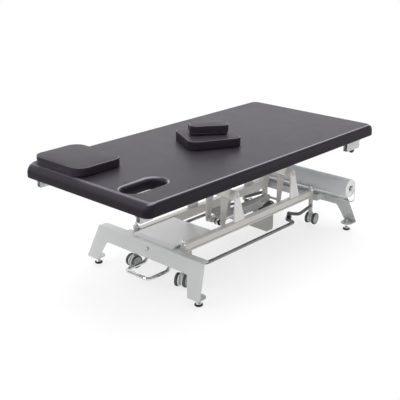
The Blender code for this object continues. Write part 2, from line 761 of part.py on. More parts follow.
def castor_carrier(end, sign, silver):
    """Box behind an end plate, bolted to it, with the upright tubes that the castor stems turn in."""
    high = END_TOP_Z - SHEET - SEAT_GAP
    face = SHEET * end_slant() + SEAT_GAP * 2
    stem_x = BASE_X + sign * CASTOR_SPAN_X / 2
    outline = [(BASE_X + sign * (end_reach(z) - face), z) for z in (CROSS_LOW_Z, high)]
    outline += [(stem_x, high), (stem_x, CROSS_LOW_Z)]
    mesh = bmesh.new()
    prism(mesh, outline, -CROSS_HALF, CROSS_HALF, "y")
    carrier = add_mesh("castor_carrier_" + end, mesh, silver)
    for side, turn in (("front", -1), ("rear", 1)):
        y = turn * CASTOR_Y
        tube = bmesh.new()
        bar(tube, (stem_x, y, CASTOR_TUBE_LOW), (stem_x, y, CASTOR_TUBE_TOP), CASTOR_TUBE, 18)
        weld(carrier, "tube_" + side, tube)
        drill(carrier, "stem_bore_" + side, (stem_x, y, CASTOR_TUBE_LOW - CASTOR_TUBE),
              (stem_x, y, CASTOR_TUBE_TOP + CASTOR_TUBE), CASTOR_STEM + RUN_GAP, 16)
    return carrier


def near_bar_lugs(carrier):
    """Hangers under the near carrier that the end bar's stubs turn in."""
    root = CROSS_LOW_Z + TUBE_EDGE
    seat = CASTOR_NEAR_X - CASTOR_TUBE
    for side, sign in (("front", -1), ("rear", 1)):
        y = sign * (U_HALF_WIDTH + U_STUB - LUG_PLATE)
        lug = bmesh.new()
        boss = circle((U_PIVOT_X, U_PIVOT_Z), LUG_RADIUS)
        outline = hull([(seat - 2 * LUG_RADIUS, root), (seat, root)] + boss)
        prism(lug, outline, y - LUG_PLATE / 2, y + LUG_PLATE / 2, "y")
        weld(carrier, "end_lug_" + side, lug)
        drill(carrier, "end_hole_" + side, (U_PIVOT_X, y - LUG_PLATE, U_PIVOT_Z),
              (U_PIVOT_X, y + LUG_PLATE, U_PIVOT_Z), BAR_RADIUS + RUN_GAP)


def swept(mesh, path, radius, sides=10):
    """Round bar along a path that lies level."""
    loops = []
    for k, point in enumerate(path):
        ahead = path[min(k + 1, len(path) - 1)] - path[max(k - 1, 0)]
        across = AXIS_Z.cross(ahead).normalized()
        loops.append([point + across * a + AXIS_Z * b for a, b in circle((0, 0), radius, sides)])
    loft(mesh, loops)


def far_bar_arms(carrier):
    """Bent arms from the far castor tubes, each with an eye that a long foot bar's stub turns in."""
    z = SIDE_BAR_Z + ARM_RISE_Z
    for side, sign in (("front", -1), ("rear", 1)):
        eye_y = sign * SIDE_PIVOT_Y
        root_y = sign * (CASTOR_Y + ARM_ROOT * 0.7)
        points = [(SIDE_EYE_X, eye_y, z), (SIDE_EYE_X + ARM_KNEE[0], eye_y + sign * ARM_KNEE[1], z),
                  (CASTOR_FAR_X - ARM_ROOT * 0.5, root_y, z)]
        arm = bmesh.new()
        swept(arm, bent(points, BAR_BEND), BAR_RADIUS)
        weld(carrier, "bar_arm_" + side, arm)
        eye = bmesh.new()
        outline = hull(circle((eye_y, SIDE_BAR_Z), LUG_RADIUS) + circle((eye_y, z), BAR_RADIUS * 1.2))
        prism(eye, outline, SIDE_EYE_X - LUG_PLATE / 2, SIDE_EYE_X + LUG_PLATE / 2, "x")
        weld(carrier, "bar_eye_" + side, eye)
        drill(carrier, "bar_hole_" + side, (SIDE_EYE_X - LUG_PLATE, eye_y, SIDE_BAR_Z),
              (SIDE_EYE_X + LUG_PLATE, eye_y, SIDE_BAR_Z), BAR_RADIUS + RUN_GAP)


def base_beam(side, sign, warm):
    """Long box beam between the castor tubes, with a set-back foot and a lug for the long foot bar."""
    outer, inner = sign * BEAM_OUTER_Y, sign * BEAM_INNER_Y
    foot = sign * (BEAM_OUTER_Y - BEAM_STEP)
    lip = BEAM_LOW_Z + BEAM_LIP
    outline = rounded([(outer, BEAM_TOP_Z, TUBE_EDGE), (inner, BEAM_TOP_Z, TUBE_EDGE),
                       (inner, BEAM_LOW_Z, TUBE_EDGE), (foot, BEAM_LOW_Z, TUBE_EDGE),
                       (foot, lip, 0), (outer, lip + BEAM_STEP / 2, 0)])
    mesh = bmesh.new()
    prism(mesh, outline, CASTOR_NEAR_X + CASTOR_TUBE + SEAT_GAP, CASTOR_FAR_X - CASTOR_TUBE - SEAT_GAP, "x")
    beam = add_mesh("base_beam_" + side, mesh, warm)
    pivot = sign * SIDE_PIVOT_Y
    root = BEAM_LOW_Z + TUBE_EDGE
    lug = bmesh.new()
    outline = hull([(foot - sign * TUBE_EDGE, root), (inner + sign * TUBE_EDGE, root)]
                   + circle((pivot, SIDE_BAR_Z), LUG_RADIUS))
    prism(lug, outline, SIDE_LUG_X - LUG_PLATE / 2, SIDE_LUG_X + LUG_PLATE / 2, "x")
    weld(beam, "bar_lug", lug)
    drill(beam, "bar_hole", (SIDE_LUG_X - LUG_PLATE, pivot, SIDE_BAR_Z),
          (SIDE_LUG_X + LUG_PLATE, pivot, SIDE_BAR_Z), BAR_RADIUS + RUN_GAP)


def castor_places():
    for end, x in (("near", CASTOR_NEAR_X), ("far", CASTOR_FAR_X)):
        for side, sign in (("front", -1), ("rear", 1)):
            yield end + "_" + side, x, sign * CASTOR_Y


def castor(name, x, y, zinc, tyre):
    """Swivelling stem and cheek between twin wheels on one axle."""
    heading = CASTOR_HEADINGS[name]
    spin = Matrix.Rotation(heading, 4, "Z")
    to_world = Matrix.Translation((x, y, 0)) @ spin
    cap = CASTOR_TUBE_LOW - SEAT_GAP
    neck = cap - WHEEL_RADIUS / 4
    mesh = bmesh.new()
    cheek = hull(circle((CASTOR_TRAIL, WHEEL_Z), WHEEL_RADIUS * 0.62)
                 + circle((0, neck - CASTOR_TUBE), CASTOR_TUBE))
    prism(mesh, cheek, -CASTOR_PLATE / 2, CASTOR_PLATE / 2, "y")
    mesh.transform(to_world)
    fork = add_mesh("castor_fork_" + name, mesh, zinc, (x, y, cap))
    crown = bmesh.new()
    nut = CASTOR_TUBE_TOP + SEAT_GAP
    nut_radius = CASTOR_TUBE * 0.66
    nut_top, tip = nut + CASTOR_NUT_HEIGHT * 0.5, nut + CASTOR_NUT_HEIGHT
    profile = [(0, neck - CASTOR_TUBE), (CASTOR_TUBE * 0.9, neck - CASTOR_TUBE), (CASTOR_TUBE, cap),
               (CASTOR_STEM, cap), (CASTOR_STEM, nut), (nut_radius, nut), (nut_radius, nut_top), (CASTOR_STEM, nut_top),
               (CASTOR_STEM, tip), (0, tip)]
    turned(crown, profile, (x, y, 0), AXIS_Z, 16)
    weld(fork, "stem", crown)
    axle = spin.to_3x3() @ AXIS_Y
    centre = to_world @ Vector((CASTOR_TRAIL, 0, WHEEL_Z))
    drill(fork, "axle_hole", centre - axle * CASTOR_PLATE, centre + axle * CASTOR_PLATE,
          AXLE_RADIUS + RUN_GAP)

    inner, outer = WHEEL_SPLIT / 2, WHEEL_SPLIT / 2 + WHEEL_WIDTH
    round_over = WHEEL_WIDTH * 0.3
    half = [(AXLE_RADIUS, inner), (WHEEL_RADIUS - round_over, inner), (WHEEL_RADIUS, inner + round_over),
            (WHEEL_RADIUS, outer - round_over), (WHEEL_RADIUS - round_over, outer), (WHEEL_RADIUS * 0.70, outer),
            (WHEEL_RADIUS * 0.62, outer - round_over * 0.5), (WHEEL_RADIUS * 0.20, outer - round_over * 0.5), (0, outer)]
    profile = [(r, -h) for r, h in reversed(half)] + half
    wheels = bmesh.new()
    turned(wheels, profile, centre, axle, 20)
    add_mesh("castor_wheels_" + name, wheels, tyre, centre)


def levelling_foot(name, centre, chrome, rubber):
    """Screw with its lock nut under a foot tab, standing on a turning rubber pad."""
    low = FOOT_HEIGHT + SEAT_GAP
    nut = LEG_FOOT_Z - SEAT_GAP
    head = LEG_FOOT_Z + SHEET + SCREW_ABOVE
    collar = NUT_HEIGHT * 1.4
    screw = bmesh.new()
    turned(screw, [(0, low), (FOOT_RADIUS * 0.72, low), (FOOT_RADIUS * 0.66, low + collar * 0.3),
                   (SCREW_RADIUS * 1.4, low + collar), (SCREW_RADIUS, low + collar),
                   (SCREW_RADIUS, nut - NUT_HEIGHT), (NUT_RADIUS, nut - NUT_HEIGHT), (NUT_RADIUS, nut),
                   (SCREW_RADIUS, nut), (SCREW_RADIUS, head),
                   (0, head)], centre, AXIS_Z, 12)
    add_mesh("foot_screw_" + name, screw, chrome, centre)
    pad = bmesh.new()
    turned(pad, [(0, 0), (FOOT_RADIUS * 0.9, 0), (FOOT_RADIUS, FOOT_HEIGHT * 0.2), (FOOT_RADIUS, FOOT_HEIGHT * 0.75),
                 (FOOT_RADIUS * 0.85, FOOT_HEIGHT), (0, FOOT_HEIGHT)], centre, AXIS_Z, 20)
    add_mesh("foot_pad_" + name, pad, rubber, centre)


def frame_bolt(end, sign, zinc):
    """Pan-head bolt in the middle of an end plate."""
    lean = Vector((sign, 0, (END_REACH_FOOT - END_REACH_TOP) / (END_TOP_Z - LEG_FOOT_Z))).normalized()
    face = Vector((BASE_X + sign * end_reach(BOLT_Z), 0, BOLT_Z)) + lean * SEAT_GAP
    mesh = bmesh.new()
    turned(mesh, [(0, 0), (BOLT_RADIUS, 0), (BOLT_RADIUS, BOLT_HEAD * 0.4), (BOLT_RADIUS * 0.6, BOLT_HEAD),
                  (0, BOLT_HEAD)], face, lean, 16)
    add_mesh("frame_bolt_" + end, mesh, zinc)


def cover_plate(silver):
    """Folded cover from the near end frame's flange back between the beams, over the control unit."""
    start = BASE_X - END_REACH_TOP + FLANGE_DEPTH + 3 * SEAT_GAP
    half, fold = BEAM_INNER_Y - SEAT_GAP, BEAM_INNER_Y - SEAT_GAP - COVER_SHEET
    low, under = COVER_TOP_Z - COVER_FLANGE, COVER_TOP_Z - COVER_SHEET
    outline = [(-half, low), (-fold, low), (-fold, under), (fold, under), (fold, low), (half, low),
               (half, COVER_TOP_Z), (-half, COVER_TOP_Z)]
    mesh = bmesh.new()
    prism(mesh, outline, start, start + COVER_LENGTH, "x")
    add_mesh("cover_plate", mesh, silver)


def control_unit(black):
    """Sealed power and control box hung under the cover plate."""
    near = CASTOR_NEAR_X + CASTOR_TUBE + COVER_FLANGE
    far, half = near + CONTROL_LENGTH, CONTROL_WIDTH / 2
    high = COVER_TOP_Z - COVER_SHEET - SEAT_GAP
    mesh = bmesh.new()
    outline = rounded([(near, -half, END_CORNER), (far, -half, END_CORNER), (far, half, END_CORNER),
                       (near, half, END_CORNER)])
    prism(mesh, outline, high - CONTROL_HEIGHT, high, "z")
    add_mesh("control_unit", mesh, black)


# Lift linkage


def pivot_bracket(name, x, sign, silver):
    """Tapered upright on a beam with the lift arm's lower pivot in its head."""
    low = BEAM_TOP_Z + SEAT_GAP
    outline = hull([(x - BRACKET_HEAD - BRACKET_EASE, low), (x - BRACKET_HEAD - BRACKET_EASE + BRACKET_BASE, low)]
                   + circle((x, PIVOT_Z), BRACKET_HEAD))
    mesh = bmesh.new()
    prism(mesh, outline, sign * BRACKET_INNER_Y, sign * BRACKET_OUTER_Y, "y")
    bracket = add_mesh("pivot_bracket_" + name, mesh, silver)
    drill(bracket, "pivot_hole", (x, 0, PIVOT_Z), (x, sign * 2 * BRACKET_OUTER_Y, PIVOT_Z),
          SHAFT_RADIUS + RUN_GAP)


def lift_arm(end, pivot_x, warm):
    """Welded arm: torsion tube on stub shafts, two arms up to a top shaft, two levers down to the drive pin."""
    pivot = (pivot_x, PIVOT_Z)
    upper = (pivot_x - ARM_RUN, UPPER_Z)
    pin = (pivot_x + LEVER_DX, LEVER_PIN_Z)
    tube_half = BRACKET_INNER_Y - SEAT_GAP * 2
    shaft_half = BRACKET_OUTER_Y + SEAT_GAP
    profile = [(0, -shaft_half), (SHAFT_RADIUS, -shaft_half), (SHAFT_RADIUS, -tube_half),
               (TORSION_RADIUS, -tube_half), (TORSION_RADIUS, tube_half), (SHAFT_RADIUS, tube_half),
               (SHAFT_RADIUS, shaft_half), (0, shaft_half)]
    tube = bmesh.new()
    turned(tube, profile, (pivot_x, 0, PIVOT_Z), AXIS_Y, 20)
    arm = add_mesh("lift_arm_" + end, tube, warm, (pivot_x, 0, PIVOT_Z))
    for side, sign in (("front", -1), ("rear", 1)):
        strut = bmesh.new()
        prism(strut, hull(circle(pivot, TORSION_RADIUS * 0.9) + circle(upper, ARM_END)),
              sign * ARM_Y - ARM_THICK / 2, sign * ARM_Y + ARM_THICK / 2, "y")
        weld(arm, "strut_" + side, strut)
    for side, y in (("front", LEVER_FRONT_Y), ("rear", LEVER_REAR_Y)):
        lever = bmesh.new()
        outline = hull(circle(pivot, LEVER_ROOT) + circle(pin, LEVER_TIP))
        prism(lever, outline, y - LEVER_PLATE / 2, y + LEVER_PLATE / 2, "y")
        weld(arm, "lever_" + side, lever)
    shaft = bmesh.new()
    reach = EAR_Y + EAR_PLATE / 2 + SEAT_GAP
    bar(shaft, (upper[0], -reach, upper[1]), (upper[0], reach, upper[1]), SHAFT_RADIUS)
    weld(arm, "top_shaft", shaft)
    rod = bmesh.new()
    bar(rod, (pin[0], LEVER_FRONT_Y, pin[1]), (pin[0], LEVER_REAR_Y, pin[1]), LEVER_PIN, 16)
    weld(arm, "drive_pin", rod)


def tie_bar(silver):
    """Channel that links the two drive pins, so that both lift arms turn together."""
    mesh = bmesh.new()
    ends = ((PIN_NEAR_X, LEVER_PIN_Z), (PIN_FAR_X, LEVER_PIN_Z))
    outline = hull(circle(ends[0], TIE_HALF_HEIGHT) + circle(ends[1], TIE_HALF_HEIGHT))
    low, high = TIE_Y - TIE_WIDTH / 2, TIE_Y + TIE_WIDTH / 2
    prism(mesh, outline, low, high, "y")
    link = add_mesh("tie_bar", mesh, silver, (PIN_NEAR_X, TIE_Y, LEVER_PIN_Z))
    trough = bmesh.new()
    setback = 2 * TIE_HALF_HEIGHT
    block(trough, (PIN_NEAR_X + setback, low + TIE_WALL, LEVER_PIN_Z - TIE_HALF_HEIGHT + TIE_WALL),
          (PIN_FAR_X - setback, high - TIE_WALL, LEVER_PIN_Z + 2 * TIE_HALF_HEIGHT))
    cut(link, "trough", trough)
    for name, (x, z) in zip(("near_eye", "far_eye"), ends):
        drill(link, name, (x, low - TIE_WALL, z), (x, high + TIE_WALL, z), LEVER_PIN + RUN_GAP, 16)


# Drive


def drive_rod(chrome):
    """Push rod with an eye on the near drive pin."""
    pin = (PIN_NEAR_X, LEVER_PIN_Z)
    mesh = bmesh.new()
    prism(mesh, circle(pin, ROD_EYE), DRIVE_Y - ROD_EYE_WIDTH / 2, DRIVE_Y + ROD_EYE_WIDTH / 2, "y")
    rod = add_mesh("drive_rod", mesh, chrome, (PIN_NEAR_X, DRIVE_Y, LEVER_PIN_Z))
    shank = bmesh.new()
    bar(shank, (PIN_NEAR_X + ROD_EYE / 2, DRIVE_Y, LEVER_PIN_Z),
        (PIN_NEAR_X + ROD_LENGTH, DRIVE_Y, LEVER_PIN_Z), ROD_RADIUS)
    weld(rod, "shank", shank)
    drill(rod, "eye", (pin[0], DRIVE_Y - ROD_EYE_WIDTH, pin[1]), (pin[0], DRIVE_Y + ROD_EYE_WIDTH, pin[1]),
          LEVER_PIN + RUN_GAP)


def drive_body(silver):
    """Drive tube that the push rod slides in, with a slotted hanger on the cradle's pin."""
    start = PIN_NEAR_X + DRIVE_BODY_START
    end = start + DRIVE_BODY_LENGTH
    lip = DRIVE_BODY_RADIUS * 1.12
    mesh = bmesh.new()
    turned(mesh, [(0, 0), (lip * 0.92, 0), (lip, DRIVE_CAP * 0.2), (lip, DRIVE_CAP),
                  (DRIVE_BODY_RADIUS, DRIVE_CAP), (DRIVE_BODY_RADIUS, DRIVE_BODY_LENGTH),
                  (0, DRIVE_BODY_LENGTH)], (start, DRIVE_Y, LEVER_PIN_Z), AXIS_X)
    body = add_mesh("drive_body", mesh, silver, (start, DRIVE_Y, LEVER_PIN_Z))
    hanger = bmesh.new()
    half = SLOT_HALF_WIDTH + HANGER_BORDER
    block(hanger, (ANCHOR_X - half, DRIVE_Y - HANGER_PLATE / 2, ANCHOR_Z - SLOT_BELOW - HANGER_BORDER),
          (ANCHOR_X + half, DRIVE_Y + HANGER_PLATE / 2, LEVER_PIN_Z - DRIVE_BODY_RADIUS * 0.6))
    weld(body, "hanger", hanger)
    slot = bmesh.new()
    block(slot, (ANCHOR_X - SLOT_HALF_WIDTH, DRIVE_Y - HANGER_PLATE, ANCHOR_Z - SLOT_BELOW),
          (ANCHOR_X + SLOT_HALF_WIDTH, DRIVE_Y + HANGER_PLATE, ANCHOR_Z + ANCHOR_PIN + SLOT_ABOVE))
    cut(body, "slot", slot)
    bore_end = end - DRIVE_CAP
    drill(body, "rod_bore", (start - DRIVE_CAP, DRIVE_Y, LEVER_PIN_Z), (bore_end, DRIVE_Y, LEVER_PIN_Z),
          ROD_RADIUS + RUN_GAP)


def drive_motor(black):
    """Gear motor slung under the back of the drive tube."""
    back = PIN_NEAR_X + DRIVE_BODY_START + DRIVE_BODY_LENGTH + MOTOR_BACK
    high = LEVER_PIN_Z - DRIVE_BODY_RADIUS - SEAT_GAP
    low = high - MOTOR_HEIGHT
    half = MOTOR_WIDTH / 2
    mesh = bmesh.new()
    outline = rounded([(DRIVE_Y - half, low, END_CORNER), (DRIVE_Y + half, low, END_CORNER),
                       (DRIVE_Y + half, high, END_CORNER / 2), (DRIVE_Y - half, high, END_CORNER / 2)])
    prism(mesh, outline, back - MOTOR_LENGTH, back, "x")
    add_mesh("drive_motor", mesh, black, (PIN_NEAR_X + DRIVE_BODY_START, DRIVE_Y, LEVER_PIN_Z))


def drive_cradle(silver):
    """Strap slung between the beams whose pin takes the drive's thrust."""
    low = CRADLE_FLOOR_Z
    high = BEAM_LOW_Z - SEAT_GAP
    outer = BEAM_OUTER_Y - BEAM_WIDTH / 2
    mesh = bmesh.new()
    near, far = ANCHOR_X - CRADLE_LENGTH / 2, ANCHOR_X + CRADLE_LENGTH / 2
    strap = outer - CRADLE_SHEET / 2
    block(mesh, (near + CRADLE_CORNER, -strap, low), (far - CRADLE_CORNER, strap, low + CRADLE_SHEET))
    cradle = add_mesh("drive_cradle", mesh, silver)
    for side, sign in (("front", -1), ("rear", 1)):
        cheek = bmesh.new()
        outline = rounded([(near, low, CRADLE_CORNER), (far, low, CRADLE_CORNER), (far, high, 0),
                           (far - CRADLE_TOP_LENGTH, high, 0)])
        prism(cheek, outline, sign * outer, sign * (outer - CRADLE_SHEET), "y")
        weld(cradle, "cheek_" + side, cheek)
        ear = bmesh.new()
        face = DRIVE_Y + sign * (HANGER_PLATE / 2 + RUN_GAP * 2)
        stand = [(ANCHOR_X - ANCHOR_EAR, low), (ANCHOR_X + ANCHOR_EAR, low)]
        outline = hull(stand + circle((ANCHOR_X, ANCHOR_Z), ANCHOR_EAR))
        prism(ear, outline, face, face + sign * ANCHOR_EAR_PLATE, "y")
        weld(cradle, "ear_" + side, ear)
    pin = bmesh.new()
    reach = HANGER_PLATE / 2 + ANCHOR_EAR_PLATE
    bar(pin, (ANCHOR_X, DRIVE_Y - reach, ANCHOR_Z), (ANCHOR_X, DRIVE_Y + reach, ANCHOR_Z), ANCHOR_PIN, 12)
    weld(cradle, "anchor_pin", pin)


# Foot control bars


def near_foot_bar(chrome):
    """U-shaped bar in front of the near end, turning on stubs under the cross member."""
    half, out = U_HALF_WIDTH, U_HALF_WIDTH + U_STUB
    side = [(U_PIVOT_X, out, U_PIVOT_Z), (U_PIVOT_X, half, U_PIVOT_Z), (U_KNEE_X, half, U_LOW_Z),
            (U_FRONT_X, half, U_LOW_Z)]
    points = side + [(x, -y, z) for x, y, z in reversed(side)]
    add_bar("foot_bar_near", bent(points, BAR_BEND), BAR_RADIUS, chrome, (U_PIVOT_X, 0, U_PIVOT_Z))


def side_foot_bar(side, sign, chrome):
    """Long bar beside a beam with cranked ends, whose stubs turn in the beam's lug and the far arm's eye."""
    inner, outer = sign * SIDE_PIVOT_Y, sign * SIDE_BAR_Y
    route = [(SIDE_NEAR_X - SIDE_STUB, inner), (SIDE_NEAR_X, inner), (SIDE_NEAR_X, outer), (SIDE_FAR_X, outer),
             (SIDE_FAR_X, inner), (SIDE_FAR_X + SIDE_STUB, inner)]
    points = [(x, y, SIDE_BAR_Z) for x, y in route]
    add_bar("foot_bar_" + side, bent(points, BAR_BEND), BAR_RADIUS, chrome, (SIDE_NEAR_X, inner, SIDE_BAR_Z))


# Paper roll


def paper_roll(paper, chrome, black):
    half = ROLL_LENGTH / 2
    mesh = bmesh.new()
    bar(mesh, (ROLL_X, -half, ROLL_Z), (ROLL_X, half, ROLL_Z), ROLL_RADIUS, 32)
    roll = add_mesh("paper_roll", mesh, paper, (ROLL_X, 0, ROLL_Z))
    drill(roll, "core", (ROLL_X, -ROLL_LENGTH, ROLL_Z), (ROLL_X, ROLL_LENGTH, ROLL_Z), ROLL_BORE, 20)

    inside = half - SPINDLE_RECESS
    tube = bmesh.new()
    bar(tube, (ROLL_X, -inside, ROLL_Z), (ROLL_X, inside, ROLL_Z), ROLL_BORE - RUN_GAP, 20)
    spindle = add_mesh("roll_spindle", tube, black, (ROLL_X, 0, ROLL_Z))
    drill(spindle, "wire_bore", (ROLL_X, -ROLL_LENGTH, ROLL_Z), (ROLL_X, ROLL_LENGTH, ROLL_Z),
          WIRE_RADIUS + SEAT_GAP)

    wire_y = half + WIRE_END_GAP
    back = ROLL_X + WIRE_BACK
    inside = BASE_X + end_reach(WIRE_LOW_Z) - SHEET * end_slant() - WIRE_RADIUS - SEAT_GAP * 2
    side = [(inside, WIRE_TAIL_Y, WIRE_LOW_Z), (inside, wire_y, WIRE_LOW_Z), (back, wire_y, WIRE_LOW_Z),
            (back, wire_y, ROLL_Z), (ROLL_X, wire_y, ROLL_Z)]
    points = side + [(x, -y, z) for x, y, z in reversed(side)]
    add_bar("roll_holder", bent(points, WIRE_BEND, 3), WIRE_RADIUS, chrome, (ROLL_X, 0, ROLL_Z), 2)


def build():
    clear_scene()
    finish = finishes()
    silver, warm, black = finish["silver"], finish["warm"], finish["black"]

    top_pad(finish["vinyl"])
    top_board(finish["board"])
    soft_pad("pillow", (PILLOW_LENGTH, PILLOW_WIDTH), PILLOW_CORNER, (PILLOW_X, PILLOW_Y), 0.0,
             PILLOW_LOW_Z, PILLOW_HEIGHT, finish["vinyl"])
    soft_pad("side_pad", (PAD_SIDE, PAD_SIDE), PAD_CORNER, (PAD_X, PAD_Y), PAD_TURN,
             PILLOW_LOW_Z, PAD_HEIGHT, finish["vinyl"])
    face_plug(finish["vinyl"])
    top_frame(silver)
    pivot_cross("near", UPPER_NEAR_X, silver)
    pivot_cross("far", UPPER_FAR_X, silver)
    for end in ("near", "far"):
        for side, sy in (("front", -1), ("rear", 1)):
            socket = rail_socket(end, side, sy, silver)
            if end == "far":
                socket_knob(side, sy, socket, black)

    for end, sign, pivot_x in (("near", -1, PIVOT_NEAR_X), ("far", 1, PIVOT_FAR_X)):
        end_frame(end, sign, silver)
        carrier = castor_carrier(end, sign, silver)
        if end == "near":
            near_bar_lugs(carrier)
        else:
            far_bar_arms(carrier)
        frame_bolt(end, sign, finish["zinc"])
        lift_arm(end, pivot_x, warm)
        for side, turn in (("front", -1), ("rear", 1)):
            pivot_bracket(end + "_" + side, pivot_x, turn, silver)
            foot = (BASE_X + sign * FOOT_X, turn * FOOT_Y, 0)
            levelling_foot(end + "_" + side, foot, finish["chrome"], finish["rubber"])
    for side, sign in (("front", -1), ("rear", 1)):
        base_beam(side, sign, warm)
        side_foot_bar(side, sign, finish["chrome"])
    for name, x, y in castor_places():
        castor(name, x, y, finish["zinc"], finish["tyre"])
    cover_plate(silver)
    control_unit(black)
    tie_bar(silver)
    drive_rod(finish["chrome"])
    drive_body(silver)
    drive_motor(black)
    drive_cradle(silver)
    near_foot_bar(finish["chrome"])
    paper_roll(finish["paper"], finish["chrome"], black)


build()
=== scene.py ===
"""Bobath table for its picture: upholstery, finishes, castor wheels and small fittings on the frame."""
import json
import math

import bmesh
import bpy
from mathutils import Matrix, Vector


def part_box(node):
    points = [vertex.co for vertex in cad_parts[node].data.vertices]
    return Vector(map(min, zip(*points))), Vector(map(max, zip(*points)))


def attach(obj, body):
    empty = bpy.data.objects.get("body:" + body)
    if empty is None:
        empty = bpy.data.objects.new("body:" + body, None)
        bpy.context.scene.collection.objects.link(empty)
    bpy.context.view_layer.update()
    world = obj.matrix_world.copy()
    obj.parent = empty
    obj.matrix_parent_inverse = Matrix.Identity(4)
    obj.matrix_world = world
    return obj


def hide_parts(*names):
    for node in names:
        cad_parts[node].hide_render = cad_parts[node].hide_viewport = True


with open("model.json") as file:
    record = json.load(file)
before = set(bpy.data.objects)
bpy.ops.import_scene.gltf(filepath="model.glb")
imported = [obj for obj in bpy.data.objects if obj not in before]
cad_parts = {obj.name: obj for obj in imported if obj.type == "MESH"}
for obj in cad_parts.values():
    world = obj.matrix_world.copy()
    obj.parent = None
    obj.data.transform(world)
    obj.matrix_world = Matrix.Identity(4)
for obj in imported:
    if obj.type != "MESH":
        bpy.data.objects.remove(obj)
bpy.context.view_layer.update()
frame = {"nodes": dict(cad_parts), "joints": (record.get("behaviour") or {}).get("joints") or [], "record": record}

nodes = frame["nodes"]
joints = {joint["name"]: joint for joint in frame["joints"]}
scene = bpy.context.scene
scene.view_settings.view_transform = "Standard"

X_AXIS = Vector((1, 0, 0))
Y_AXIS = Vector((0, 1, 0))
Z_AXIS = Vector((0, 0, 1))
QUARTER = math.pi / 2
ENDS = ("near", "far")
CORNERS = ("near_front", "near_rear", "far_front", "far_rear")


# Camera, floor and light

CAMERA_AT = (-3.4177, -2.9990, 2.0267)
CAMERA_AZIMUTH = math.radians(-47.66)
CAMERA_PITCH = math.radians(20.28)
CAMERA_LENS = 71.16
CAMERA_SENSOR = 36.0
CAMERA_REACH = 60.0
FLOOR_HALF = 14.0
FLOOR_DROP = 0.0006
SHADOW_SHARE = 0.30          # how much of the floor's shading the camera sees near the object
SHADOW_FADE = (0.70, 1.30)   # distance from the table's middle over which that fades to plain white
SHADOW_STRETCH = 0.55        # distances along the table count this much
MIRRORED_WHITE = 0.30        # how much of the floor is plain white in reflections
AMBIENT = 0.78               # world light on the object
SKY_DIM = 0.75               # how much darker than the horizon the upper sky is in reflections
SKY_FADE = (0.16, 0.42)      # heights over which the sky goes from the horizon's white to that
REAR = (0.739, 0.673)        # level direction behind the object, where the sky stays bright
REAR_FADE = (0.25, 0.70)     # reach of a direction towards there, over which the sky turns bright
SEEN_RAYS = ("Is Camera Ray", "Is Glossy Ray", "Is Transmission Ray")


def aim_camera():
    data = bpy.data.cameras.new("studio_camera")
    data.lens = CAMERA_LENS
    data.sensor_width = CAMERA_SENSOR
    data.clip_end = CAMERA_REACH
    camera = bpy.data.objects.new("studio_camera", data)
    scene.collection.objects.link(camera)
    flat = math.cos(CAMERA_PITCH)
    back = Vector((math.sin(CAMERA_AZIMUTH) * flat, -math.cos(CAMERA_AZIMUTH) * flat,
                   math.sin(CAMERA_PITCH)))
    camera.location = CAMERA_AT
    camera.rotation_mode = "QUATERNION"
    camera.rotation_quaternion = (-back).to_track_quat("-Z", "Y")
    scene.camera = camera


def softbox(name, place, target, size, power):
    data = bpy.data.lights.new(name, "AREA")
    data.shape = "RECTANGLE"
    data.size, data.size_y = size
    data.energy = power
    lamp = bpy.data.objects.new(name, data)
    scene.collection.objects.link(lamp)
    lamp.location = place
    lamp.rotation_mode = "QUATERNION"
    lamp.rotation_quaternion = (Vector(target) - Vector(place)).to_track_quat("-Z", "Y")


# Shader maths on sockets


class Flow:
    """An output socket of a finish; arithmetic on flows adds Math nodes."""

    def __init__(self, finish, socket):
        self.finish = finish
        self.socket = socket

    def _maths(self, operation, first, second):
        return self.finish.node("ShaderNodeMath", {"operation": operation}, {0: first, 1: second})

    def __add__(self, other):
        return self._maths("ADD", self, other)

    def __radd__(self, other):
        return self._maths("ADD", other, self)

    def __sub__(self, other):
        return self._maths("SUBTRACT", self, other)

    def __rsub__(self, other):
        return self._maths("SUBTRACT", other, self)

    def __mul__(self, other):
        return self._maths("MULTIPLY", self, other)

    def __rmul__(self, other):
        return self._maths("MULTIPLY", other, self)

    def __pow__(self, other):
        return self._maths("POWER", self, other)

    def __gt__(self, other):
        return self._maths("GREATER_THAN", self, other)

    def __lt__(self, other):
        return self._maths("LESS_THAN", self, other)

    def __abs__(self):
        return self._maths("ABSOLUTE", self, 0.0)


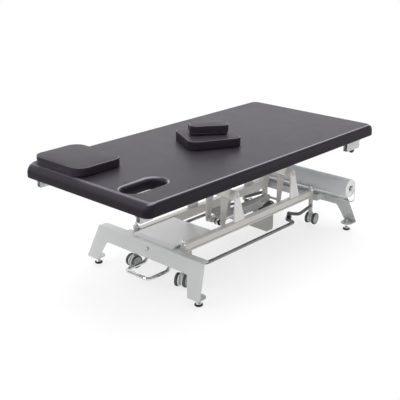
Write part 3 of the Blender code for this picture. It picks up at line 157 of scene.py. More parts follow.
class Finish:
    """The nodes of a material, or of the world, round its own shader."""

    def __init__(self, name, world=None):
        self.owner = world or bpy.data.materials.new(name)
        self.owner.use_nodes = True
        self.tree = self.owner.node_tree
        self.shader = self.tree.nodes["Background" if world else "Principled BSDF"]

    def fill(self, socket, value):
        if isinstance(value, Flow):
            self.tree.links.new(value.socket, socket)
        else:
            socket.default_value = value

    def node(self, kind, settings=None, inputs=None, out=0):
        """Adds a node: its settings first, then the values or links of its sockets."""
        made = self.tree.nodes.new(kind)
        for name, value in (settings or {}).items():
            setattr(made, name, value)
        for name, value in (inputs or {}).items():
            self.fill(made.inputs[name], value)
        return Flow(self, made.outputs[out])

    def place(self):
        return self.node("ShaderNodeTexCoord", out="Object")

    def axes(self, vector):
        """The three parts of a vector."""
        return [self.node("ShaderNodeSeparateXYZ", inputs={0: vector}, out=k) for k in range(3)]

    def stretched(self, scale):
        return self.node("ShaderNodeMapping", inputs={"Vector": self.place(), "Scale": scale})

    def noise(self, scale, detail=3.0, rough=0.55, vector=None):
        return self.node("ShaderNodeTexNoise", inputs={
            "Vector": vector or self.place(), "Scale": scale, "Detail": detail, "Roughness": rough})

    def cells(self, scale):
        return self.node("ShaderNodeTexVoronoi", {"feature": "F1"},
                         {"Vector": self.place(), "Scale": scale})

    def layers(self, value, thick):
        """Goes from 0 to the thickness of a layer and back, over and over."""
        return self.node("ShaderNodeMath", {"operation": "PINGPONG"}, {0: value, 1: thick})

    def between(self, value, low, high):
        """A flow from 0 to 1 spread over low to high."""
        return value * (high - low) + low

    def step(self, value, start, end):
        """Rises smoothly from 0 at the start to 1 at the end."""
        return self.node("ShaderNodeMapRange", {"interpolation_type": "SMOOTHSTEP"},
                         {"Value": value, "From Min": start, "From Max": end})

    def tint(self, share, first, second):
        """Mixes two colours, each a flow or red, green and blue, by the Mix node's colour sockets."""
        first, second = (part if isinstance(part, Flow) else (*part, 1.0) for part in (first, second))
        return self.node("ShaderNodeMix", {"data_type": "RGBA"},
                         {"Factor": share, 6: first, 7: second}, out=2)

    def bump(self, height, strength, depth):
        return self.node("ShaderNodeBump", inputs={
            "Height": height, "Strength": strength, "Distance": depth})

    def coat(self, **sockets):
        """Fills the shader's sockets, named with _ for spaces."""
        for name, value in sockets.items():
            self.fill(self.shader.inputs[name.replace("_", " ")], value)
        return self.owner


# Finishes

# Vinyl's painted light by the upward part of its normal, from no effect to the full one: a painted sheen on the
# lying face, painted lighter rounded sides, painted highlights on the edges
LYING_FACE = (0.95, 0.99)
ROUNDED_SIDE = (0.05, 0.95)
LONG_EDGE = (0.66, 0.82)
SHORT_EDGE = (0.84, 0.92)
SIDEWAYS = (0.12, 0.35)      # the sideways part of the normal, which tells long edges from short ones
SHORT_EDGE_SHARE = 0.45      # how strong the painted highlight on the short edges is beside the long ones
# painted light on the rounded sides: how much of the lighter tone they get, and that tone
SIDE_LIGHT_SHARE = 0.45
SIDE_LIGHT_TONE = (0.100, 0.090, 0.112)
# colour of the painted highlight on the vinyl's edges
EDGE_HIGHLIGHT_TONE = (0.30, 0.280, 0.320)
VINYL_SHEEN = (0.94, 0.87, 1.0, 1.0)
SHEEN_DRIFT = 1.15             # the brightest patches of the painted sheen on the lying face against the dimmest


def charcoal_vinyl(name, dark, light, painted_sheen, edge_highlight, gloss):
    """Upholstery vinyl: pebbled grain and a drift of tone, with a painted sheen on the lying face, painted lighter
    rounded sides and painted highlights on the edges.
    """
    f = Finish(name)
    drift = f.noise(2.6, 3.0)
    pebble = f.cells(620.0)
    relief = pebble * 0.7 + f.noise(1500.0, 2.0) * 0.3
    across, rise = f.axes(f.node("ShaderNodeNewGeometry", out="Normal"))[1:]
    level = f.step(rise, *LYING_FACE)
    # the rounded sides are painted lighter as they turn upwards, as if lit from above
    side_light = f.step(rise, *ROUNDED_SIDE) * (1.0 - level)
    sideways = f.step(abs(across), *SIDEWAYS)
    long_edge = f.step(rise, *LONG_EDGE) * sideways
    short_edge = f.step(rise, *SHORT_EDGE) * (1.0 - sideways) * SHORT_EDGE_SHARE
    # the edges get a painted highlight in their colour, and a light coat
    crease = (long_edge + short_edge) * (1.0 - level)
    tone = f.tint(side_light * SIDE_LIGHT_SHARE, f.tint(drift, dark, light), SIDE_LIGHT_TONE)
    # painted sheen: the lying face is lighter in colour, as a sheen of light on it would make it
    sheened = f.tint(level, tone, f.tint(drift, painted_sheen, tuple(part * SHEEN_DRIFT for part in painted_sheen)))
    return f.coat(Base_Color=f.tint(crease * edge_highlight, sheened, EDGE_HIGHLIGHT_TONE), Specular_IOR_Level=gloss,
                  Specular_Tint=VINYL_SHEEN, Coat_Weight=crease * 0.2, Coat_Roughness=0.25,
                  Roughness=f.between(f.noise(9.0, 4.0) * 0.6 + pebble * 0.4, 0.32, 0.46),
                  Normal=f.bump(relief, 0.20, 0.0004))


ARM_END_X = 0.752            # bent arms of the far castor carrier end here, at its tubes
ARM_TOP_Z = 0.170


def powder_coat(name, dark, light, arms=None):
    """Satin powder coat: orange-peel skin and a faint cloudiness; a carrier's arms can differ in tone."""
    f = Finish(name)
    tone = f.tint(f.noise(7.0, 4.0), dark, light)
    if arms:
        x, _, z = f.axes(f.node("ShaderNodeNewGeometry", out="Position"))
        tone = f.tint((x < ARM_END_X) * (z < ARM_TOP_Z), tone, arms)
    return f.coat(Base_Color=tone, Specular_IOR_Level=0.50, Coat_Weight=0.30, Coat_Roughness=0.20,
                  Roughness=f.between(f.noise(40.0, 3.0), 0.28, 0.42),
                  Normal=f.bump(f.noise(900.0, 2.0), 0.10, 0.0003))


def polished(name, dark, light):
    """Polished metal with faint smears."""
    f = Finish(name)
    smear = f.noise(60.0, 3.0, vector=f.stretched((1.0, 1.0, 0.3)))
    return f.coat(Base_Color=f.tint(smear, dark, light), Metallic=1.0,
                  Roughness=f.between(smear, 0.06, 0.16))


def zinc_plate():
    """Zinc plating with a fine spangle."""
    f = Finish("zinc_plate_spangle")
    spangle = f.cells(180.0)
    return f.coat(Base_Color=f.tint(spangle, (0.46, 0.47, 0.49), (0.60, 0.61, 0.63)), Metallic=1.0,
                  Roughness=f.between(spangle, 0.26, 0.42), Normal=f.bump(f.noise(700.0), 0.06, 0.0002))


def screw_thread():
    """Plated screw: fine ridges along its length."""
    f = Finish("screw_thread_plate")
    ridge = f.node("ShaderNodeTexWave", {"wave_type": "BANDS", "bands_direction": "Z"},
                   {"Vector": f.place(), "Scale": 90.0, "Distortion": 0.0})
    return f.coat(Base_Color=f.tint(ridge, (0.66, 0.67, 0.69), (0.84, 0.85, 0.87)), Metallic=1.0,
                  Roughness=f.between(ridge, 0.12, 0.26), Normal=f.bump(ridge, 0.35, 0.0006))


def black_rubber():
    """Matt rubber of the feet, a little dusty."""
    f = Finish("black_rubber_matt")
    dust = f.noise(55.0, 5.0)
    return f.coat(Base_Color=f.tint(dust, (0.010, 0.010, 0.010), (0.030, 0.029, 0.028)),
                  Roughness=f.between(dust, 0.60, 0.85), Normal=f.bump(f.noise(600.0), 0.25, 0.0004))


def castor_tread():
    """Scuffed tread of the castor wheels."""
    f = Finish("castor_tread")
    scuff = f.noise(120.0, 5.0)
    return f.coat(Base_Color=f.tint(scuff, (0.045, 0.045, 0.048), (0.095, 0.094, 0.096)),
                  Roughness=f.between(scuff, 0.45, 0.70), Normal=f.bump(f.noise(500.0), 0.15, 0.0004))


def moulded_plastic(name, dark, light, grain):
    """Moulded plastic with a spark-eroded grain."""
    f = Finish(name)
    blush = f.noise(18.0, 3.0)
    texture = f.noise(grain, 2.0)
    return f.coat(Base_Color=f.tint(blush, dark, light), Roughness=f.between(texture, 0.36, 0.54),
                  Normal=f.bump(texture, 0.16, 0.0003))


PLY = 0.0015
PLY_CONTRAST = 666.0         # turns a layer's thickness into about 1
HOLE_WHITE_FROM = (0.015, 0.015)   # edges in this area, from the board's near front corner, are painted white to stand in for the bright floor seen through the face hole
HOLE_WHITE_TO = (0.500, 0.450)


def plywood():
    """Grey paint that lets the long grain show, plies on the edges, and edges in the face hole painted white to
    stand in for the bright floor seen through it.
    """
    f = Finish("grey_plywood")
    grain = f.noise(9.0, 6.0, 0.62, f.stretched((0.7, 9.0, 9.0)))
    vein = f.node("ShaderNodeTexWave", {"wave_type": "BANDS", "bands_direction": "Y"},
                  {"Vector": f.stretched((0.25, 1.0, 1.0)), "Scale": 9.0, "Distortion": 7.0, "Detail": 4.0})
    face = f.tint(grain * 0.6 + vein * 0.4, (0.38, 0.38, 0.37), (0.45, 0.45, 0.44))
    x, y, z = f.axes(f.place())
    plies = f.layers(z, PLY) * PLY_CONTRAST
    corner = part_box("top_board")[0]
    in_hole = ((x > corner.x + HOLE_WHITE_FROM[0]) * (x < corner.x + HOLE_WHITE_TO[0])
               * (y > corner.y + HOLE_WHITE_FROM[1]) * (y < corner.y + HOLE_WHITE_TO[1]))
    # painted light: the edges in the face hole are white, standing in for the bright floor seen through it
    edge = f.tint(in_hole, f.tint(plies, (0.30, 0.29, 0.28), (0.42, 0.41, 0.40)), (0.86, 0.86, 0.85))
    level = f.step(abs(f.axes(f.node("ShaderNodeNewGeometry", out="Normal"))[2]), 0.4, 0.7)
    return f.coat(Base_Color=f.tint(level, edge, face),
                  Roughness=f.between(grain, 0.55, 0.78), Normal=f.bump(grain, 0.2, 0.0004))


PAPER_LAYER = 0.0011
PAPER_WOBBLE = 0.0012
PAPER_CONTRAST = 900.0


def couch_paper():
    """Wound crepe paper: fine creases round the roll and rings of layers on its ends."""
    f = Finish("couch_paper_roll")
    low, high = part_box("paper_roll")
    x, _, z = f.axes(f.place())
    radius = ((x - (low.x + high.x) / 2) ** 2.0 + (z - (low.z + high.z) / 2) ** 2.0) ** 0.5
    wound = f.layers(radius + f.noise(30.0, 3.0) * PAPER_WOBBLE, PAPER_LAYER) * PAPER_CONTRAST
    crease = f.noise(70.0, 5.0, 0.6, f.stretched((1.0, 0.12, 1.0)))
    on_end = f.step(abs(f.axes(f.node("ShaderNodeNewGeometry", out="Normal"))[1]), 0.6, 0.8)
    side = f.tint(crease, (0.57, 0.59, 0.61), (0.66, 0.68, 0.70))
    end = f.tint(wound, (0.60, 0.60, 0.59), (0.84, 0.84, 0.83))
    return f.coat(Base_Color=f.tint(on_end, side, end), Roughness=f.between(crease, 0.75, 0.95),
                  Normal=f.bump(crease * (1.0 - on_end) + wound * on_end, 0.25, 0.0005))


# Mesh making

CORNER_STEPS = 10
SIDE_STEPS = 10
LEAST_CORNER = 0.004


def ring(centre, radius, start, end, steps):
    """Points of an arc, both ends included."""
    return [(centre[0] + radius * math.cos(start + (end - start) * k / steps),
             centre[1] + radius * math.sin(start + (end - start) * k / steps)) for k in range(steps + 1)]


def pad_outline(length, width, corner, draw):
    """Rounded rectangle with sides that draw in between the corners, counter-clockwise."""
    radius = max(corner, LEAST_CORNER)
    half_l, half_w = length / 2 - radius, width / 2 - radius
    signs = ((1, 1), (-1, 1), (-1, -1), (1, -1))
    outline = []
    for k, (sx, sy) in enumerate(signs):
        centre = Vector((sx * half_l, sy * half_w))
        nx, ny = signs[(k + 1) % 4]
        after = Vector((nx * half_l, ny * half_w))
        outline += ring(centre, radius, k * QUARTER, (k + 1) * QUARTER, CORNER_STEPS)
        out = Vector((math.cos((k + 1) * QUARTER), math.sin((k + 1) * QUARTER)))
        for i in range(1, SIDE_STEPS):
            share = i / SIDE_STEPS
            spot = centre.lerp(after, share) + out * (radius - draw * math.sin(math.pi * share))
            outline.append(tuple(spot))
    return outline


def skin(mesh, loops):
    """Joins closed loops of equal length and caps both ends."""
    rings = [[mesh.verts.new(p) for p in loop] for loop in loops]
    count = len(rings[0])
    for low, high in zip(rings, rings[1:]):
        for i in range(count):
            mesh.faces.new((low[i], low[(i + 1) % count], high[(i + 1) % count], high[i]))
    mesh.faces.new(list(reversed(rings[0])))
    mesh.faces.new(rings[-1])


def lathe(mesh, profile, centre, axis, sides, closed=False):
    """Revolves a (radius, height) profile; a closed one is a ring, an open one ends on the axis."""
    turn = Z_AXIS.rotation_difference(axis).to_matrix()
    rows = []
    for radius, height in profile:
        points = [(0.0, 0.0)] if radius == 0 else ring((0, 0), radius, 0, 2 * math.pi, sides)[:-1]
        rows.append([mesh.verts.new(Vector(centre) + turn @ Vector((a, b, height))) for a, b in points])
    pairs = list(zip(rows, rows[1:]))
    if closed:
        pairs.append((rows[-1], rows[0]))
    for low, high in pairs:
        for i in range(sides):
            j = (i + 1) % sides
            corners = [low[i % len(low)], low[j % len(low)], high[j % len(high)], high[i % len(high)]]
            mesh.faces.new(list(dict.fromkeys(corners)))


def tube(mesh, path, radius, sides=8):
    """Thin round welt along a closed level path."""
    rows = []
    for k, point in enumerate(path):
        ahead = path[(k + 1) % len(path)] - path[k - 1]
        across = Z_AXIS.cross(ahead).normalized()
        rows.append([mesh.verts.new(point + across * a + Z_AXIS * b)
                     for a, b in ring((0, 0), radius, 0, 2 * math.pi, sides)[:-1]])
    for here, there in zip(rows, rows[1:] + rows[:1]):
        for i in range(sides):
            j = (i + 1) % sides
            mesh.faces.new((here[i], here[j], there[j], there[i]))


def make_piece(name, mesh, material, sharp=35.0):
    """Links a mesh as a piece; edges with a turn of more degrees than sharp stay sharp."""
    bmesh.ops.recalc_face_normals(mesh, faces=mesh.faces)
    data = bpy.data.meshes.new(name)
    mesh.to_mesh(data)
    mesh.free()
    data.shade_smooth()
    data.set_sharp_from_angle(angle=math.radians(sharp))
    data.materials.append(material)
    piece = bpy.data.objects.new(name, data)
    scene.collection.objects.link(piece)
    return piece


def settle(piece):
    """Applies a piece's modifiers."""
    shown = piece.evaluated_get(bpy.context.evaluated_depsgraph_get())
    old = piece.data
    piece.data = bpy.data.meshes.new_from_object(shown)
    piece.modifiers.clear()
    bpy.data.meshes.remove(old)


# Upholstery

TOP_CORNER = 0.042
TOP_END_ROLL = 0.055         # radius of the roll-over at the short ends
TOP_SIDE_ROUND = 0.016       # radius along the long sides
TOP_UNDER_EDGE = 0.006
TOP_CROWN = 0.0025
TOP_DRAW = 0.002
TOP_SHARP = 40.0             # edges of the top with a turn of more degrees than this stay sharp
CROWN_STEPS = (0.05, 0.12, 0.25, 0.45, 0.7)   # loops of the lying face, as shares of the way inwards
CROWN_STEEP = 1.6            # the crown reaches its height at 1 / this share of the way
HOLE_FROM_END = 0.190
HOLE_FROM_SIDE = 0.223
HOLE_SIZE = (0.270, 0.120)
HOLE_RIM = 0.027
HOLE_SWELL = 0.0025
HOLE_STEPS = 20
BOARD_INSET = 0.0177
BOARD_DEPTH = 0.0153
BOARD_CORNER = 0.0212
BOARD_BARE = 0.0022          # the hole's wall stands back here, where the board's own edge shows


def stood_back(z, shoulder, radius):
    """How far an edge of a given radius stands back at a height."""
    rise = z - (shoulder - radius)
    return radius - math.sqrt(max(radius ** 2 - rise ** 2, 0.0)) if rise > 0 else 0.0


def top_levels(low, high, width):
    """Insets along and across, height and draw-in of the top's loops, from the board pocket to the crown."""
    shoulder = high - TOP_CROWN
    levels = [(BOARD_INSET, BOARD_INSET, low + BOARD_DEPTH, 0), (BOARD_INSET, BOARD_INSET, low, 0),
              (TOP_UNDER_EDGE, TOP_UNDER_EDGE, low, 0)]
    for k in range(1, 5):
        turn = QUARTER * k / 4
        inset = TOP_UNDER_EDGE * (1 - math.sin(turn))
        levels.append((inset, inset, low + TOP_UNDER_EDGE * (1 - math.cos(turn)), 0))
    heights = [shoulder - TOP_END_ROLL * (1 - math.sin(QUARTER * k / 12)) for k in range(12)]
    heights += [shoulder - TOP_SIDE_ROUND * (1 - math.sin(QUARTER * k / 8)) for k in range(9)]
    heights = sorted(set(heights))
    for z in heights:
        drawn = math.sin(math.pi * max(min((shoulder - TOP_SIDE_ROUND - z) / TOP_END_ROLL, 1), 0))
        levels.append((stood_back(z, shoulder, TOP_END_ROLL), stood_back(z, shoulder, TOP_SIDE_ROUND),
                       z, drawn))
    for share in CROWN_STEPS:
        further = (width / 2 - TOP_SIDE_ROUND) * share
        rise = TOP_CROWN * math.sin(QUARTER * min(share * CROWN_STEEP, 1))
        levels.append((TOP_END_ROLL + further, TOP_SIDE_ROUND + further, shoulder + rise, 0))
    return levels


def hole_cutter(near, low, high):
    """Solid of the face hole: straight through the board, swelling foam walls, a soft rim at the top."""
    x, y = near.x + HOLE_FROM_END, near.y + HOLE_FROM_SIDE
    straight = (HOLE_SIZE[0] - HOLE_SIZE[1]) / 2
    floor = low + BOARD_DEPTH
    walls = [(BOARD_BARE, low - HOLE_RIM), (BOARD_BARE, floor)]
    for k in range(1, 4):
        walls.append((-HOLE_SWELL * math.sin(math.pi * k / 4), floor + (high - HOLE_RIM - floor) * k / 4))
    for k in range(11):
        turn = QUARTER * k / 10
        walls.append((HOLE_RIM * (1 - math.cos(turn)), high - HOLE_RIM * (1 - math.sin(turn))))
    walls.append((HOLE_RIM, high + HOLE_RIM))
    loops = []
    for out, z in walls:
        radius = HOLE_SIZE[1] / 2 + out
        plan = ring((x + straight, y), radius, -QUARTER, QUARTER, HOLE_STEPS)
        plan += ring((x - straight, y), radius, QUARTER, 3 * QUARTER, HOLE_STEPS)
        loops.append([(a, b, z) for a, b in plan])
    mesh = bmesh.new()
    skin(mesh, loops)
    return mesh


def padded_top(vinyl):
    """Taut vinyl over foam, rolled over the ends and wrapped round the board, with a face hole."""
    near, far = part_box("top_pad")
    length, width = far.x - near.x, far.y - near.y
    loops = []
    for along, across, z, drawn in top_levels(near.z, far.z, width):
        corner = BOARD_CORNER if along == BOARD_INSET else TOP_CORNER - min(along, across) / 2
        plan = pad_outline(length - 2 * along, width - 2 * across, corner, TOP_DRAW * drawn)
        loops.append([(x, y, z) for x, y in plan])
    mesh = bmesh.new()
    skin(mesh, loops)
    piece = make_piece("padded_top", mesh, vinyl, TOP_SHARP)
    tool = make_piece("hole_tool", hole_cutter(near, near.z, far.z), vinyl)
    cut = piece.modifiers.new("face_hole", "BOOLEAN")
    cut.operation = "DIFFERENCE"
    cut.solver = "EXACT"
    cut.object = tool
    settle(piece)
    bpy.data.objects.remove(tool)
    piece.data.shade_smooth()
    piece.data.set_sharp_from_angle(angle=math.radians(TOP_SHARP))
    smooth = piece.modifiers.new("taut_shading", "WEIGHTED_NORMAL")
    smooth.keep_sharp = True
    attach(piece, "top")
    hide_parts("top_pad")


# Loose pads: length and width, corner radius, turn and height of a neck under the pad
LOOSE_PADS = {
    "pillow": ((0.320, 0.404), 0.072, 0.0, 0.0),
    "side_pad": ((0.324, 0.324), 0.055, -28.5, 0.0),
    "face_plug": ((0.232, 0.128), 0.040, -38.0, 0.011),
}
SOFT_EDGE = 0.007
SOFT_CROWN = 0.0020
SOFT_DRAW = 0.003
NECK_INSET = 0.006
NECK_EASE = 0.003
VOXEL = 0.005
SEAM_SLOPE = (0.30, 0.94)    # upward part of the normal on the rounded edges, which hold still
FOAM_PRESSURE = 4.0
FOAM_FRAMES = 20
FOAM_SWELL = 0.0030          # most that a panel swells between its seams
WELT_RADIUS = 0.0012
WELT_SHARE = 0.29            # the welt's place on the rounded edge, as a share of its radius
SEAM_DRAW = 0.6              # draw-in of a pad at its edges, as a share of the most
PAD_STEPS = (0.08, 0.2, 0.4, 0.65, 0.85)   # loops of a pad's upper face, as shares of the way inwards
PAD_FACE_DRAW = 0.4
# Foot of a pad: inset and height as shares of the edge's radius, and draw-in
PAD_FOOT = ((0.7, 0.0, 0.0), (0.2, 0.12, 0.2), (0.05, 0.4, 0.4), (0.0, 1.0, SEAM_DRAW))
PAD_SHARP = 50.0
LOWER_WELT = (1.5, 0.2)      # height above the cover's foot in radii of the welt, and draw-in


def plump(piece, floor):
    """Swells a pad's panels by cloth pressure, between edges that hold still and over what it lies on."""
    even = piece.modifiers.new("even_mesh", "REMESH")
    even.mode = "VOXEL"
    even.voxel_size = VOXEL
    settle(piece)
    points = piece.data.vertices
    rest = [point.co.copy() for point in points]
    seams = piece.vertex_groups.new(name="seams")
    steep, shallow = SEAM_SLOPE
    seams.add([p.index for p in points if steep < abs(p.normal.z) < shallow], 1.0, "REPLACE")
    foam = piece.modifiers.new("foam_pressure", "CLOTH")
    foam.settings.vertex_group_mass = seams.name
    foam.settings.use_pressure = True
    foam.settings.uniform_pressure_force = FOAM_PRESSURE
    foam.settings.effector_weights.gravity = 0.0
    for step in range(1, FOAM_FRAMES + 1):
        scene.frame_set(step)
    shown = piece.evaluated_get(bpy.context.evaluated_depsgraph_get())
    swollen = [point.co.copy() for point in shown.data.vertices]
    scene.frame_set(1)
    piece.modifiers.clear()
    for point, start, end in zip(points, rest, swollen):
        move = end - start
        if move.length > 0:
            point.co = start + move * (FOAM_SWELL * math.tanh(move.length / FOAM_SWELL) / move.length)
        point.co.z = max(point.co.z, floor)
    finer = piece.modifiers.new("finer_skin", "SUBSURF")
    finer.levels = finer.render_levels = 1
    settle(piece)
    piece.data.shade_smooth()


def pad_levels(low, high, plan):
    """Inset, height and draw-in of a loose pad's loops, from its underside to its crown."""
    shoulder = high - SOFT_CROWN - FOAM_SWELL
    wall = shoulder - low - 2 * SOFT_EDGE
    levels = [(SOFT_EDGE * inset, low + SOFT_EDGE * rise, drawn) for inset, rise, drawn in PAD_FOOT]
    for k in range(1, 4):
        drawn = SEAM_DRAW + (1 - SEAM_DRAW) * math.sin(math.pi * k / 4)
        levels.append((0.0, low + SOFT_EDGE + wall * k / 4, drawn))
    for k in range(7):
        turn = QUARTER * k / 6
        levels.append((SOFT_EDGE * (1 - math.cos(turn)), shoulder - SOFT_EDGE * (1 - math.sin(turn)),
                       SEAM_DRAW))
    for share in PAD_STEPS:
        inset = SOFT_EDGE + (min(plan) / 2 - SOFT_EDGE) * share
        rise = SOFT_CROWN * math.sin(QUARTER * share)
        levels.append((inset, shoulder + rise, PAD_FACE_DRAW * (1 - share)))
    return levels


def loose_pad(name, vinyl):
    """Foam pad in a sewn vinyl cover with a welt on its upper edge; the plug has a lower welt and a neck."""
    plan, corner, turn, neck = LOOSE_PADS[name]
    bottom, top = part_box(name)
    centre = (bottom + top) / 2
    low = bottom.z + neck
    spin = Matrix.Rotation(math.radians(turn), 3, "Z")

    def loop(inset, z, drawn):
        outline = pad_outline(plan[0] - 2 * inset, plan[1] - 2 * inset, corner - inset, SOFT_DRAW * drawn)
        return [Vector((centre.x, centre.y, z)) + spin @ Vector((x, y, 0)) for x, y in outline]

    mesh = bmesh.new()
    skin(mesh, [loop(*level) for level in pad_levels(low, top.z, plan)])
    cover = make_piece(name + "_cover", mesh, vinyl, PAD_SHARP)
    plump(cover, low)
    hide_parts(name)
    made = [cover]
    seam = top.z - SOFT_CROWN - FOAM_SWELL - SOFT_EDGE * WELT_SHARE
    welt = bmesh.new()
    tube(welt, loop(SOFT_EDGE * WELT_SHARE, seam, SEAM_DRAW), WELT_RADIUS)
    if neck:
        rise, drawn = LOWER_WELT
        tube(welt, loop(0.0, low + WELT_RADIUS * rise, drawn), WELT_RADIUS)
    piping = make_piece(name + "_welt", welt, vinyl)
    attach(piping, name)
    if neck:
        foot = bmesh.new()
        rows = [(NECK_INSET + NECK_EASE, bottom.z), (NECK_INSET, bottom.z + NECK_EASE),
                (NECK_INSET, low + SOFT_EDGE)]
        skin(foot, [loop(inset, z, 0.0) for inset, z in rows])
        made.append(make_piece(name + "_neck", foot, vinyl))
    for piece in made:
        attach(piece, name)


# Castor wheels and small fittings

WHEEL_RADIUS = 0.040
WHEEL_INNER = 0.017
WHEEL_OUTER = 0.034
WHEEL_EASE = 0.005
WHEEL_CROWN = (0.3, 0.4)     # drop and inset of the tread's shoulder, as shares of the easing
WHEEL_SHARP = 40.0
HUB_RADIUS = 0.0312
HUB_STEPS = (0.88, 0.82, 0.36, 0.32)   # rim, both ends of the dish and cap, as shares of the radius
HUB_SHARP = 30.0
HUB_DISH = 0.0025
HUB_CLEARANCE = 0.0002       # round the hub, inside the tread ring
HUB_SET_BACK = 0.0006        # the hub's face behind the tread's
HUB_CAP_RISE = 0.0005
HUB_RIBS = 8
RIB_HALF = 0.0011
RIB_REACH = (0.34, 0.85)     # shares of the hub's radius
RIB_SINK = (0.0005, 0.0008)  # the rib's foot below the dish and its top below the hub's face
AXLE_RADIUS = 0.004


def wheel(rubber, hubs, centre, axle, side):
    """One wheel of a twin castor: a tread ring round a dished hub with ribs and a cap."""
    a, b = side * WHEEL_INNER, side * WHEEL_OUTER
    eased, crown = WHEEL_RADIUS - WHEEL_EASE, WHEEL_RADIUS - WHEEL_EASE * WHEEL_CROWN[0]
    shift = side * WHEEL_EASE * WHEEL_CROWN[1]
    lathe(rubber, [(HUB_RADIUS, a), (eased, a), (crown, a + shift), (WHEEL_RADIUS, (a + b) / 2),
                   (crown, b - shift), (eased, b), (HUB_RADIUS, b)], centre, axle, sides=40, closed=True)
    face = b - side * HUB_SET_BACK
    dish, cap = face - side * HUB_DISH, face + side * HUB_CAP_RISE
    edge = HUB_RADIUS - HUB_CLEARANCE
    rim, dish_end, dish_start, boss = (HUB_RADIUS * share for share in HUB_STEPS)
    lathe(hubs, [(0, a), (edge, a), (edge, face), (rim, face), (dish_end, dish), (dish_start, dish),
                 (boss, cap), (0, cap)], centre, axle, sides=40)
    flat = axle.cross(Z_AXIS).normalized()
    low, high = (HUB_RADIUS * share for share in RIB_REACH)
    for k in range(HUB_RIBS):
        out = Matrix.Rotation(k * 2 * math.pi / HUB_RIBS, 3, axle) @ flat
        across = axle.cross(out) * RIB_HALF
        skin(hubs, [[centre + axle * h + out * r + across * s
                     for r, s in ((low, -1), (high, -1), (high, 1), (low, 1))]
                    for h in (dish - side * RIB_SINK[0], face - side * RIB_SINK[1])])


def castor_wheels(corner, tread, hub_grey):
    """Twin wheels on their axle."""
    joint = joints["wheel_spin_" + corner]
    centre, axle = Vector(joint["pos_m"]), Vector(joint["axis"]).normalized()
    rubber, hubs = bmesh.new(), bmesh.new()
    for side in (-1, 1):
        wheel(rubber, hubs, centre, axle, side)
    lathe(hubs, [(0, -WHEEL_INNER), (AXLE_RADIUS, -WHEEL_INNER), (AXLE_RADIUS, WHEEL_INNER),
                 (0, WHEEL_INNER)], centre, axle, sides=16)
    tyres = make_piece("tyres_" + corner, rubber, tread, WHEEL_SHARP)
    discs = make_piece("hubs_" + corner, hubs, hub_grey, HUB_SHARP)
    for piece in (tyres, discs):
        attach(piece, "wheels_" + corner)
    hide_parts("castor_wheels_" + corner)


FITTING_SHARP = 25.0


def fitting(name, mesh, material, body):
    """A small rigid piece on a body."""
    piece = make_piece(name, mesh, material, FITTING_SHARP)
    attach(piece, body)


HOOD_RADIUS = 0.0345
HOOD_BORE = 0.0055
HOOD_SPAN = (0.0066, 0.0162)   # inner and outer face from the middle of the fork
HOOD_EASE = 0.0020


def castor_hood(corner, plastic):
    """Pale hood discs on both sides of a castor's fork, between its wheels."""
    joint = joints["wheel_spin_" + corner]
    mesh = bmesh.new()
    for side in (-1, 1):
        inner, outer = (side * reach for reach in HOOD_SPAN)
        ease = side * HOOD_EASE
        lathe(mesh, [(HOOD_BORE, inner), (HOOD_RADIUS - HOOD_EASE, inner), (HOOD_RADIUS, inner + ease),
                     (HOOD_RADIUS, outer - ease), (HOOD_RADIUS - HOOD_EASE, outer), (HOOD_BORE, outer)],
              joint["pos_m"], Vector(joint["axis"]).normalized(), sides=40, closed=True)
    fitting("castor_hood_" + corner, mesh, plastic, "castor_" + corner)


NUT_SIZE = 0.0136            # radius to the corners
NUT_THICK = 0.0080
NUT_CHAMFER = ((0.90, 0.0), (1.0, 0.14), (1.0, 0.86), (0.88, 1.0))   # shares of its size and thickness
NUT_DROP = 0.0140            # the nut's foot below the top of the castor's stem
DOME_RADIUS = 0.0092
DOME_HEIGHT = 0.0190
DOME_FOOT = 0.9              # the dome starts at this share of the nut's thickness


def castor_nut(corner, chrome):
    """Acorn nut over the castor's stem on top of its tube."""
    pivot = Vector(joints["castor_swivel_" + corner]["pos_m"])
    stem_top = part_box("castor_fork_" + corner)[1].z
    base = Vector((pivot.x, pivot.y, stem_top - NUT_DROP))
    mesh = bmesh.new()
    skin(mesh, [[base + Vector((a, b, NUT_THICK * height))
                 for a, b in ring((0, 0), NUT_SIZE * share, 0, 2 * math.pi, 6)[:-1]]
                for share, height in NUT_CHAMFER])
    dome = [(0, NUT_THICK * DOME_FOOT), (DOME_RADIUS, NUT_THICK * DOME_FOOT)]
    for k in range(9):
        turn = QUARTER * k / 8
        dome.append((DOME_RADIUS * math.cos(turn), NUT_THICK + (DOME_HEIGHT - NUT_THICK) * math.sin(turn)))
    dome[-1] = (0, DOME_HEIGHT)
    lathe(mesh, dome, base, Z_AXIS, sides=24)
    fitting("castor_nut_" + corner, mesh, chrome, "castor_" + corner)


CAP_RADIUS = 0.0130
CAP_THICK = 0.0024
CAP_EASE = (0.8, 0.5)        # shares of the radius and thickness where its bevel starts
SOCKET_RADIUS = 0.0036
SOCKET_FLOOR = 0.0004


def pivot_caps(end, silver):
    """Low caps with a key socket on the ends of a lift arm's lower shaft."""
    pivot = joints["lift" if end == "near" else "lift_far_pivot"]["pos_m"]
    low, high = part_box("lift_arm_" + end)
    mesh = bmesh.new()
    for y, axis in ((low.y, -Y_AXIS), (high.y, Y_AXIS)):
        lathe(mesh, [(0, SOCKET_FLOOR), (SOCKET_RADIUS, SOCKET_FLOOR), (SOCKET_RADIUS, CAP_THICK),
                     (CAP_RADIUS * CAP_EASE[0], CAP_THICK), (CAP_RADIUS, CAP_THICK * CAP_EASE[1]),
                     (CAP_RADIUS, 0), (0, 0)], (pivot[0], y, pivot[2]), axis, sides=24)
    fitting("pivot_caps_" + end, mesh, silver, "lift_" + end)


